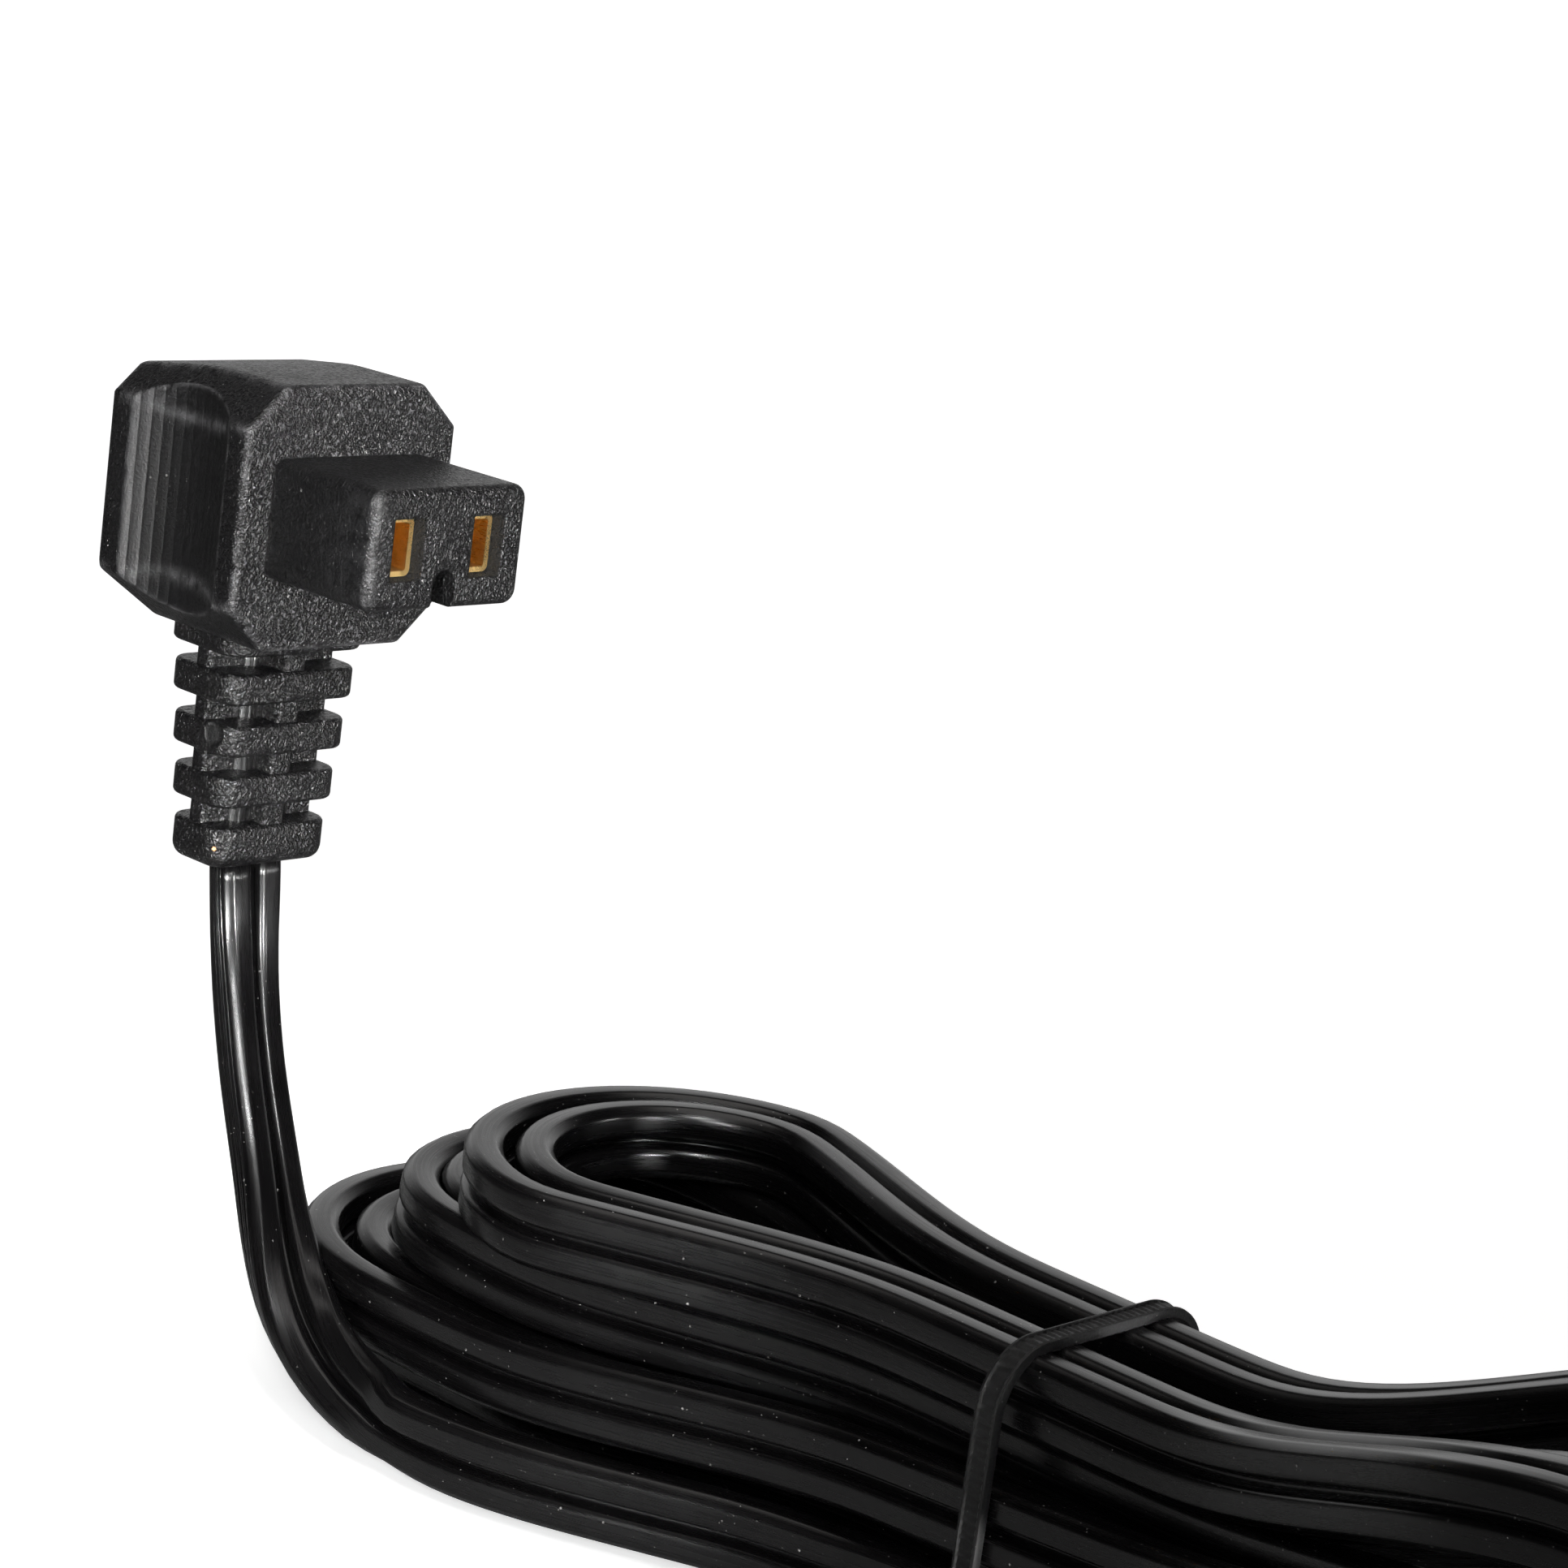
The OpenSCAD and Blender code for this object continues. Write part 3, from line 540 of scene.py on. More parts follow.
@dataclass(frozen=True)
class CordJacket:
    """Shiny extruded vinyl of the flat cord: streaks along it, and fine ridges on one lobe.

    Lengths are in metres; ridge_high, streak_high and ripple_high count in reliefs.
    """

    name: str = "cord jacket"
    base: Colour = (0.0011, 0.001, 0.0011, 1.0)
    dusty: Colour = (0.4, 0.39, 0.38, 1.0)
    roughness: float = 0.24
    specular: float = 0.55
    relief: float = 0.00006
    ridge_at: float = 0.0
    ridge_half: float = 0.0007
    ridge_pitch: float = 0.0004
    ridge_high: float = 1.3
    streak_high: float = 0.018
    ripple_high: float = 0.35

    def material(self, effects: Effects) -> Material:
        """Builds the material; it reads the piece's own lay: metres along it and round it."""
        material, w, shader, place = start_material(self.name)
        lay = w.put(w.node("UVMap", uv_map="Lay"))
        parts = w.put(w.node("SeparateXYZ"), Vector=lay.outputs[0])
        long_way = w.vector("MULTIPLY", lay.outputs[0], (0.02, 1.0, 1.0))
        streak = w.remap(w.noise(long_way.outputs[0], 4200.0, 3.0, 0.6), 0.35, 0.65)
        ripple = w.noise(place, 260.0, 2.0, 0.5)
        off = w.math("ABSOLUTE", w.math("SUBTRACT", parts.outputs[1], self.ridge_at))
        near = w.remap(off, self.ridge_half * 0.9, self.ridge_half, 1.0, 0.0)
        wave = w.math("SINE", w.times(off, 2 * math.pi / self.ridge_pitch))
        ridges = w.times(w.times(wave, 0.5, 0.5), near)
        worn = use_group(w, effects.wear, Vector=place, Edge=0.0, Amount=0.5)
        dust = use_group(w, effects.dust, Vector=place, Amount=0.45)
        colour = w.blend(worn["Blotch"], self.base, lighter(self.base, 1.5))
        colour = w.blend(dust["Specks"], colour, self.dusty)
        rough = w.times(streak, 0.07, self.roughness - 0.03)
        rough = w.times(worn["Blotch"], 0.06, rough)
        height = w.times(streak, self.streak_high, w.times(ridges, self.ridge_high))
        height = w.times(ripple, self.ripple_high, height)
        w.put(shader, Base_Color=colour, Roughness=rough, Normal=w.bump(height, self.relief))
        w.put(shader, Specular_IOR_Level=self.specular, IOR=1.52)
        return material


@dataclass(frozen=True)
class Metal:
    """Stamped sheet metal: drawn scratches one way, tarnish and worn spots."""

    name: str
    base: Colour
    tarnish: Colour
    roughness: float
    draw: Triple = (1.0, 0.06, 1.0)
    dusty: Colour = (0.3, 0.28, 0.25, 1.0)
    relief: float = 0.000002

    def material(self, effects: Effects) -> Material:
        """Builds the material on object coordinates."""
        material, w, shader, place = start_material(self.name)
        drawn = w.vector("MULTIPLY", place, self.draw)
        scratch = w.remap(w.noise(drawn.outputs[0], 9000.0, 3.0, 0.7), 0.35, 0.65)
        worn = use_group(w, effects.wear, Vector=place, Edge=0.0, Amount=0.5)
        dust = use_group(w, effects.dust, Vector=place, Amount=0.3)
        dark = w.remap(w.noise(place, 900.0, 4.0, 0.7), 0.5, 0.72)
        colour = w.blend(w.times(dark, 0.7), self.base, self.tarnish)
        colour = w.blend(dust["Specks"], colour, self.dusty)
        rough = w.times(scratch, 0.14, self.roughness - 0.05)
        rough = w.times(worn["Blotch"], 0.1, rough)
        w.put(shader, Base_Color=colour, Roughness=rough, Normal=w.bump(scratch, self.relief, 0.5))
        w.put(shader, Metallic=1.0)
        return material


class Shelf:
    """All finishes of the object, made once."""

    def __init__(self, ridge_at: float) -> None:
        """Makes each material.

        Args:
            ridge_at: where the cord's ridges lie, in metres round its section.
        """
        effects = Effects()
        vinyl = MouldedVinyl("overmould vinyl", gate=(-6.97, 19.3, -20.1), speck=(-6.0, 18.75, -30.3))
        carrier = MouldedVinyl("carrier plastic", relief=0.00016, dust=0.45, coarse_scale=3000.0)
        clean = {"wear": 0.4, "dust": 0.3}
        nylon = MouldedVinyl("tie nylon", (0.005, 0.0048, 0.005, 1.0), roughness=0.36, relief=0.00002, **clean)
        bridge = MouldedVinyl("bridge plastic", (0.03, 0.029, 0.03, 1.0), roughness=0.42, relief=0.00003, **clean)
        brass = Metal("contact brass", (0.92, 0.63, 0.25, 1.0), (0.6, 0.34, 0.1, 1.0), 0.26)
        nickel = Metal("blade nickel", (0.72, 0.7, 0.66, 1.0), (0.4, 0.36, 0.31, 1.0), 0.22)
        copper = Metal("copper strands", (0.8, 0.4, 0.22, 1.0), (0.4, 0.16, 0.08, 1.0), 0.3, (1.0, 1.0, 0.05))
        self.overmould = vinyl.material(effects)
        self.carrier = carrier.material(effects)
        self.jacket = CordJacket(ridge_at=ridge_at).material(effects)
        self.brass = brass.material(effects)
        self.nickel = nickel.material(effects)
        self.copper = copper.material(effects)
        self.tie = nylon.material(effects)
        self.bridge = bridge.material(effects)


class Slot(Enum):
    """The record's material slots."""

    OVERMOULD = "overmould"
    CARRIER = "carrier"
    CONTACT = "contact"
    CORD = "cord"
    STRANDS = "strands"
    TIE = "tie"
    BRIDGE = "bridge"
    BLADE = "blade"


def dress(piece: Piece, material: Material, slot: Slot, *nodes: str) -> Piece:
    """Gives a new piece its material and its body.

    Args:
        piece: the new piece.
        material: its finish.
        slot: the record's slot that it stands for; not used.
        nodes: CAD nodes that it replaces.

    Returns:
        The piece.
    """
    piece.data.materials.clear()
    piece.data.materials.append(material)
    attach(piece, "root")
    if nodes:
        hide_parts(*nodes)
    LOG.info("%s: %d faces", piece.name, len(piece.data.polygons))
    return piece


def refinish(node: str, material: Material) -> None:
    """Gives a CAD node that stays a better material."""
    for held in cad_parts[node].material_slots:
        held.material = material
    LOG.info("%s: kept, refinished", node)


# ---------------------------------------------------------------- studio
@dataclass(frozen=True)
class Spot:
    """A snooted lamp: it lights what its narrow cone meets and leaves the rest out.

    It stands at far and height, in metres, in the direction turn, in degrees from
    -X towards -Y. aim is in millimetres, cone in degrees and disc in metres.
    """

    name: str
    turn: float
    height: float
    far: float
    power: float
    aim: Triple = (0.0, 14.0, -6.0)
    cone: float = 4.4
    disc: float = 0.08


def row_of_cord_keys() -> List[Spot]:
    """The lamps over the lead: each lights the part of its edge that leans towards it."""
    aim, far, drop = (-2.2, 10.5, -63.0), 0.8, 0.05
    spots = []
    for lift, turn, power in ((27.0, 46.0, 15.0), (41.0, 52.0, 21.0), (55.0, 50.0, 24.0)):
        a = math.radians(lift)
        height, out = far * math.sin(a) - drop, far * math.cos(a)
        spots.append(Spot(f"cord key {lift:.0f}", turn, height, out, power, aim, 5.2, 0.05))
    return spots


@dataclass
class Studio:
    """Camera, lamps, white surround and a pale floor."""

    floor_z: float = -76.05
    floor_half: float = 6000.0
    lens: float = 93.82
    sensor: float = 36.0
    place: Triple = (-226.4435, -244.1759, 62.6885)
    right: Triple = (0.685798, -0.716414, 0.128188)
    up: Triple = (0.081996, 0.251069, 0.96449)
    forward: Triple = (0.723158, 0.650935, -0.230926)
    backdrop: Triple = (0.743, 0.669, 0.0)
    box_size: float = 0.8
    box_power: float = 2.2
    box_colour: Triple = (1.0, 0.965, 0.94)
    box_at: Triple = (0.05, 0.1, 1.0)
    box_aim: Triple = (0.0, 0.0, -0.02)
    spots: Tuple[Spot, ...] = (
        Spot("near key", 30.0, 0.02, 0.8, 290.0),
        Spot("front key", 84.0, 0.03, 0.8, 430.0),
        Spot("right key", 124.0, 0.05, 0.8, 26.0),
        *row_of_cord_keys(),
    )

    @staticmethod
    def stand(name: str, data: bpy.types.ID, at: Sequence[float], axes: Sequence[Sequence[float]]) -> Piece:
        """Puts a camera or a lamp into the scene.

        Args:
            name: its name.
            data: its data.
            at: its place in metres.
            axes: its own X, Y and Z in the scene's.

        Returns:
            The new object.
        """
        made = bpy.data.objects.new(name, data)
        bpy.context.scene.collection.objects.link(made)
        world = np.eye(4)
        world[:3, :3] = np.array(axes).T
        world[:3, 3] = at
        made.matrix_world = Matrix(world.tolist())
        return made

    def facing(self, name: str, data: bpy.types.ID, at: Sequence[float], to: Sequence[float]) -> Piece:
        """Puts a lamp at one place so that it faces another, both in metres."""
        back = unit(np.array(at) - np.array(to))
        side = unit(np.cross([0.01, 0.0, 1.0], back))
        return self.stand(name, data, at, [side, np.cross(back, side), back])

    def camera(self) -> None:
        """Makes the camera; its axes are right, up and backwards."""
        data = bpy.data.cameras.new("camera")
        data.lens, data.sensor_fit = self.lens, "HORIZONTAL"
        data.sensor_width = data.sensor_height = self.sensor
        data.clip_start, data.clip_end = 0.01, 20.0
        axes = [self.right, self.up, [-v for v in self.forward]]
        bpy.context.scene.camera = self.stand("camera", data, np.array(self.place) * MM, axes)

    def softbox(self) -> None:
        """Makes the square lamp overhead."""
        data = bpy.data.lights.new("overhead softbox", "AREA")
        data.size, data.energy, data.color = self.box_size, self.box_power, self.box_colour
        self.facing("overhead softbox", data, self.box_at, self.box_aim)

    def spot(self, lamp: Spot) -> None:
        """Makes a snooted lamp."""
        data = bpy.data.lights.new(lamp.name, "SPOT")
        data.energy, data.shadow_soft_size = lamp.power, lamp.disc
        data.spot_size, data.spot_blend = math.radians(lamp.cone), 0.25
        a = math.radians(lamp.turn)
        at = np.array([-lamp.far * math.cos(a), -lamp.far * math.sin(a), lamp.height])
        self.facing(lamp.name, data, at, np.array(lamp.aim) * MM)

    def surround(self) -> None:
        """Makes the world: white to the camera, and to gloss a white backdrop behind and dim elsewhere."""
        world = bpy.data.worlds.new("surround")
        bpy.context.scene.world = world
        world.use_nodes = True
        world.node_tree.nodes.clear()
        w = Wiring(world.node_tree)
        path = w.node("LightPath")
        glossy = path.outputs["Is Glossy Ray"]
        seen = w.math("MAXIMUM", path.outputs["Is Camera Ray"], path.outputs["Is Transmission Ray"])
        way = w.node("TexCoord").outputs["Generated"]
        height = w.put(w.node("SeparateXYZ"), Vector=way).outputs[2]
        toward = w.vector("DOT_PRODUCT", way, self.backdrop).outputs[1]
        behind = w.remap(toward, 0.6, 0.92, 0.015, 0.85)
        low = w.remap(height, 0.42, 0.52, 1.0, 0.02)
        gloss = w.times(glossy, w.times(behind, low))
        light = w.times(w.math("SUBTRACT", 1.0, glossy), 0.3)
        strength = w.math("MAXIMUM", seen, w.math("ADD", gloss, light))
        shade = w.put(w.node("Background"), Color=(1, 1, 1, 1), Strength=strength)
        w.put(w.node("OutputWorld"), Surface=shade.outputs[0])

    def floor(self) -> None:
        """Makes the floor: a wide sheet just under the hank, pale and matt, that glows to the camera."""
        steps = np.linspace(-self.floor_half, self.floor_half, 3)
        x, y = np.meshgrid(steps, steps, indexing="ij")
        points = np.stack([x, y, np.full_like(x, self.floor_z)], -1).reshape(-1, 3)
        piece = make_piece("floor", points, [grid_quads(3, 3, False)[:, ::-1]])
        material, w, shader, place = start_material("floor white")
        path = w.node("LightPath")
        tone = w.remap(w.noise(place, 30.0, 3.0, 0.5), 0.2, 0.8, 0.9, 0.93)
        dim = w.times(path.outputs["Is Glossy Ray"], -0.7, 1.0)
        tone = w.times(tone, dim)
        colour = w.put(w.node("CombineColor"), Red=tone, Green=tone, Blue=tone)
        w.put(shader, Base_Color=colour.outputs[0], Roughness=0.9, Specular_IOR_Level=0.1)
        rise = w.remap(w.vector("LENGTH", place).outputs[1], 0.2, 0.8, 0.6, 1.0)
        strength = w.times(rise, path.outputs["Is Camera Ray"])
        glow = w.put(w.node("Emission"), Color=(1, 1, 1, 1), Strength=strength)
        both = w.put(w.node("AddShader"), i0=shader.outputs[0], i1=glow.outputs[0])
        outputs = [n for n in material.node_tree.nodes if n.bl_idname == "ShaderNodeOutputMaterial"]
        w.put(outputs[0], Surface=both.outputs[0])
        piece.data.materials.append(material)

    def build(self) -> None:
        """Makes the whole studio."""
        bpy.context.scene.view_settings.view_transform = "Standard"
        self.camera()
        self.surround()
        self.floor()
        self.softbox()
        for lamp in self.spots:
            self.spot(lamp)
        LOG.info("studio ready")


# ---------------------------------------------------------------- cord
@dataclass
class TwinCord:
    """The flat twin cord: from the connector's relief through the hank to the plug.

    width and thick are its nominal section, and full_w and full_t the one that is made.
    """

    width: float = 6.2
    thick: float = 3.1
    full_w: float = 6.55
    full_t: float = 3.3
    hank_r: float = 19.0
    loop_step: float = 4.0
    layer_step: float = 6.7
    run_len: float = 128.0
    waist_in: float = 9.0
    fan_rise: float = 4.2
    fan_len: float = 44.0
    near_back: Tuple[float, float] = (1.3, 0.33)
    far_out: Tuple[float, float] = (1.2, 2.6)
    layer_z0: float = -71.75
    hank_x: float = 16.0
    hank_y: float = -2.0
    waist_y: float = -66.0
    waist_flat: float = 12.0
    waist_end: float = 50.0
    round_in: float = 0.34
    lead_end: float = -59.0
    layers: int = 4
    loops: int = 2
    end_t: float = 8.25
    spacing: float = 1.7
    ridge_share: float = 0.75
    quarter: Tuple[Tuple[float, float], ...] = (
        (0.0, 0.3), (0.2, 0.36), (0.31, 0.55), (0.38, 0.86), (0.45, 1.17), (0.56, 1.4),
        (0.78, 1.53), (1.1, 1.55), (1.8, 1.55), (2.22, 1.55), (2.4, 1.53), (2.52, 1.46),
        (2.75, 1.24), (2.98, 1.0), (3.06, 0.86), (3.1, 0.6), (3.1, 0.0),
    )
    lead: Tuple[Triple, ...] = (
        (0, 21.6, -32.19), (0.2, 21.3, -36), (0.1, 20.6, -40), (-0.4, 19.05, -44.5),
        (-1.4, 16.15, -50), (-2.9, 11.8, -56), (-5.2, 6.2, -61.6), (-7.4, -0.6, -66.6),
        (-8, -8, -70), (-7.4, -17, -71.5), (-5, -26, -71.75), (-1, -35, -71.75),
        (3.4, -44, -71.75), (5.8, -52, -71.75),
    )
    tail: Tuple[Triple, ...] = (
        (-3, -141, -39.6), (-3, -149, -42), (-2.8, -157, -46.4), (-2.2, -165, -52),
        (-1.2, -173, -58), (0, -181, -63.8), (1.4, -189, -68.8), (2.8, -197, -72.3),
        (3.6, -206, -74.1), (4, -215, -74), (4, -223, -72.2), (4, -230, -69.6),
        (4, -236, -68.3), (4, -241, -68),
    )

    def pinch(self, y: Array) -> Array:
        """How far the waist is drawn in at y: 1 at the tie, 0 beyond its reach."""
        return 1 - ease((np.abs(y - self.waist_y) - self.waist_flat) / (self.waist_end - self.waist_flat))

    def fan(self, y: Array) -> Array:
        """Extra rise of each layer beyond the tie."""
        return self.fan_rise * ease((self.waist_y - self.waist_flat - y) / self.fan_len)

    def layer_of(self, t: Array) -> Array:
        """The layer at loop count t, climbing in a quarter loop."""
        k = np.floor(t / self.loops)
        up = np.minimum(self.layers - 1, k - 1 + ease((t - k * self.loops) * 4))
        return np.where(k < 1, 0.0, up)

    def ring_of(self, t: Array) -> Array:
        """Half the width of the loop at loop count t, in and out by turns."""
        k = np.floor(t / self.loops)
        u = t - k * self.loops
        f = u - np.floor(u)
        m = np.floor(u) + np.maximum(0, f - 0.25) / 0.75
        return self.hank_r - self.loop_step * np.where(k % 2 == 0, m, self.loops - m)

    def hank_at(self, t: Array) -> Array:
        """Points of the hank at loop counts t: a run, an end bend, a run back, an end bend.

        The layers step back at the near end by the square and the cube of their
        number and bulge at the far end, and the outer ones are drawn in at the waist.
        """
        t = np.asarray(t, float)
        f = t - np.floor(t)
        q = np.minimum(np.floor(f * 4), 3)
        x = f * 4 - q
        r, layer = self.ring_of(t), self.layer_of(t)
        top_layer = self.layers - 1
        near_end = self.hank_y - self.near_back[0] * layer**2 - self.near_back[1] * layer**3
        far_end = self.hank_y - self.run_len - self.far_out[0] * layer - self.far_out[1] * layer * (top_layer - layer)
        c, s = np.cos(math.pi * x), np.sin(math.pi * x)
        out, bend_far, bend_near = q == 0, q == 1, q == 3
        run_y = np.where(out, near_end + (far_end - near_end) * x, far_end + (near_end - far_end) * x)
        run_x = self.hank_x + np.where(out, -1.0, 1.0) * (r - self.waist_in * self.pinch(run_y))
        y = np.select([bend_far, bend_near], [far_end - r * s, near_end + r * s], run_y)
        px = np.select([bend_far, bend_near], [self.hank_x - r * c, self.hank_x + r * c], run_x)
        level = np.select([bend_far, bend_near], [far_end, near_end], run_y)
        z = self.layer_z0 + (self.layer_step + self.fan(level)) * layer
        half_high = top_layer / 2 * self.layer_step + self.width / 2
        off = (layer - top_layer / 2) * self.layer_step / half_high
        px = self.hank_x + (px - self.hank_x) * (1 - self.round_in * off * off * self.pinch(y))
        return np.stack([px, y, z], -1)

    @staticmethod
    def spline(points: Array, steps: int) -> Tuple[Array, Array]:
        """A smooth curve through points, each span a cubic of its four nearest points.

        Args:
            points: the points to pass.
            steps: new points in each span.

        Returns:
            The curve's points, and each one's span number with its share.
        """
        q = np.concatenate([[2 * points[0] - points[1]], points, [2 * points[-1] - points[-2]]])
        s = np.arange(0, (len(points) - 1) * steps + 1) / steps
        i = np.minimum(s.astype(int), len(points) - 2)
        t = (s - i)[:, None]
        a, b, c, d = q[i], q[i + 1], q[i + 2], q[i + 3]
        square, cube = (2 * a - 5 * b + 4 * c - d) * t**2, (3 * b - a - 3 * c + d) * t**3
        return 0.5 * (2 * b + (c - a) * t + square + cube), s

    @staticmethod
    def lead_roll(s: Array) -> Array:
        """The lead's roll in degrees at spline counts s: a small turn back, then a quarter turn."""
        back = 14 * ease((s - 0.3) / 3.7) * (1 - ease((s - 5.2) / 2.6))
        return 90 * ease((3 * s - 16) / 13) - back

    @staticmethod
    def tail_roll(s: Array) -> Array:
        """The tail's roll in degrees at spline counts s: from upright back to level."""
        return 90 - 90 * ease((2 * s - 2) / 18)

    def route(self) -> Tuple[Array, Array]:
        """The whole centre line and its roll, evenly spaced.

        The lead and the tail are splines, the hank is hank_at; the line is
        evened out over a few millimetres and given slow, small bows.

        Returns:
            The points, and the roll of the wide side from level, in radians.
        """
        t0 = (self.hank_y - self.lead_end) / self.run_len / 4
        steps, hank_steps = 14, int((self.end_t - t0) * 220)
        lead, s1 = self.spline(np.concatenate([self.lead, self.hank_at(np.array([t0]))]), steps)
        hank = self.hank_at(np.linspace(t0, self.end_t, hank_steps))
        tail, s2 = self.spline(np.concatenate([self.hank_at(np.array([self.end_t])), self.tail]), steps)
        points = np.concatenate([lead[:-1], hank, tail[1:]])
        roll = np.concatenate([self.lead_roll(s1)[:-1], np.full(len(hank), 90.0), self.tail_roll(s2)[1:]])

        along = way_along(points)
        even = np.linspace(0, along[-1], int(round(along[-1] / self.spacing)) + 1)
        points = np.stack([np.interp(even, along, points[:, k]) for k in range(3)], -1)
        roll = np.radians(np.interp(even, along, roll))

        held, reach, blur = 60, 4, 2.6
        free = ease(even / held) * ease((even[-1] - even) / held)
        kernel = np.exp(-0.5 * (np.arange(-reach, reach + 1) * self.spacing / blur) ** 2)
        kernel /= kernel.sum()
        padded = np.pad(points, ((reach, reach), (0, 0)), mode="edge")
        soft = np.stack([np.convolve(padded[:, k], kernel, "valid") for k in range(3)], -1)
        points = points + (soft - points) * free[:, None]

        side = unit(np.cross(np.gradient(points, axis=0), [0, 0, 1.0]))
        bow = 0.22 * np.sin(even / 23.0 + 1.0) + 0.16 * np.sin(even / 9.7 + 2.0)
        calm = free * (1 - 0.8 * self.pinch(points[:, 1]))
        points = points + side * (bow * calm)[:, None]
        points[:, 2] += 0.1 * (1 + np.sin(even / 31.0)) * free
        sway = 4.0 * np.sin(even / 17.0) + 3.0 * np.sin(even / 41.0 + 0.5)
        return points, roll + np.radians(sway) * calm

    def section(self) -> Array:
        """The cord's section: two lobes with flat broad faces, bevelled edges and a groove between.

        Returns:
            Points (across the width, through the thickness), from the groove on.
        """
        quarter = np.array(self.quarter) * [self.full_w / self.width, self.full_t / self.thick]
        right = np.concatenate([quarter, quarter[-2:0:-1] * [1, -1]])
        return np.concatenate([right, -right])

    def ridge_at(self) -> float:
        """How far round the section the ridges lie, in metres."""
        return float(way_along(closed(self.section()))[-1]) * self.ridge_share * MM

    def frames(self, points: Array, roll: Array) -> Tuple[Array, Array]:
        """The wide and the thin direction at each point.

        The level direction is X less its part along the cord; the wide side is
        turned from it by the roll. In the hank it is the upward one instead.
        """
        t = unit(np.gradient(points, axis=0))
        a = unit(np.array([1.0, 0, 0]) - t * t[:, :1])
        b = np.cross(t, a)
        wide = np.cos(roll)[:, None] * a + np.sin(roll)[:, None] * b
        upright = unit(np.array([0, 0, 1.0]) - t * t[:, 2:3])
        thin = np.cross(upright, t)
        lean = roll - math.pi / 2
        turned = np.cos(lean)[:, None] * upright + np.sin(lean)[:, None] * thin
        share = ease((np.abs(lean) - 0.14) / 0.2)[:, None]
        flip = np.sign(np.sum(wide * turned, -1, keepdims=True))
        wide = unit(wide * share + turned * (1 - share) * np.where(flip == 0, 1, flip))
        steps = np.sign(np.sum(wide[1:] * wide[:-1], -1))
        wide[1:] *= np.cumprod(np.where(steps == 0, 1, steps))[:, None]
        return wide, np.cross(wide, t)

    def skin(self, name: str, points: Array, wide: Array, thin: Array) -> Piece:
        """The tube over a centre line, with its lay stored: metres along it and round it.

        Args:
            name: the piece's name.
            points: the centre line.
            wide: the wide direction at each point.
            thin: the thin direction at each point.

        Returns:
            The new piece.
        """
        shape = self.section()
        rings = points[:, None] + wide[:, None] * shape[None, :, :1] + thin[:, None] * shape[None, :, 1:]
        verts, faces = loft(rings)
        along, about = way_along(points), way_along(closed(shape))
        i, j = np.meshgrid(np.arange(len(points) - 1), np.arange(len(shape)), indexing="ij")
        corners = [(i, j), (i, j + 1), (i + 1, j + 1), (i + 1, j)]
        lay = np.stack([np.stack([along[a], about[b]], -1) for a, b in corners], 2)
        caps = np.zeros((faces[1].size, 2))
        return make_piece(name, verts, faces, corner_uv=np.concatenate([lay.reshape(-1, 2), caps]) * MM)

    def build(self) -> Tuple[Piece, Array]:
        """Makes the cord and returns it with its path in metres."""
        points, roll = self.route()
        return self.skin("cord", points, *self.frames(points, roll)), points * MM

    def inside_end(self, name: str, top: Triple, bottom: Triple) -> Piece:
        """The straight end of the cord inside a strain relief, between two points."""
        rings = 16
        t = np.linspace(0, 1, rings)[:, None]
        points = np.array(top) * (1 - t) + np.array(bottom) * t
        wide = np.tile(np.array([1.0, 0, 0]), (rings, 1))
        thin = np.cross(wide, unit(np.array(bottom) - np.array(top)))
        return self.skin(name, points, wide, thin)


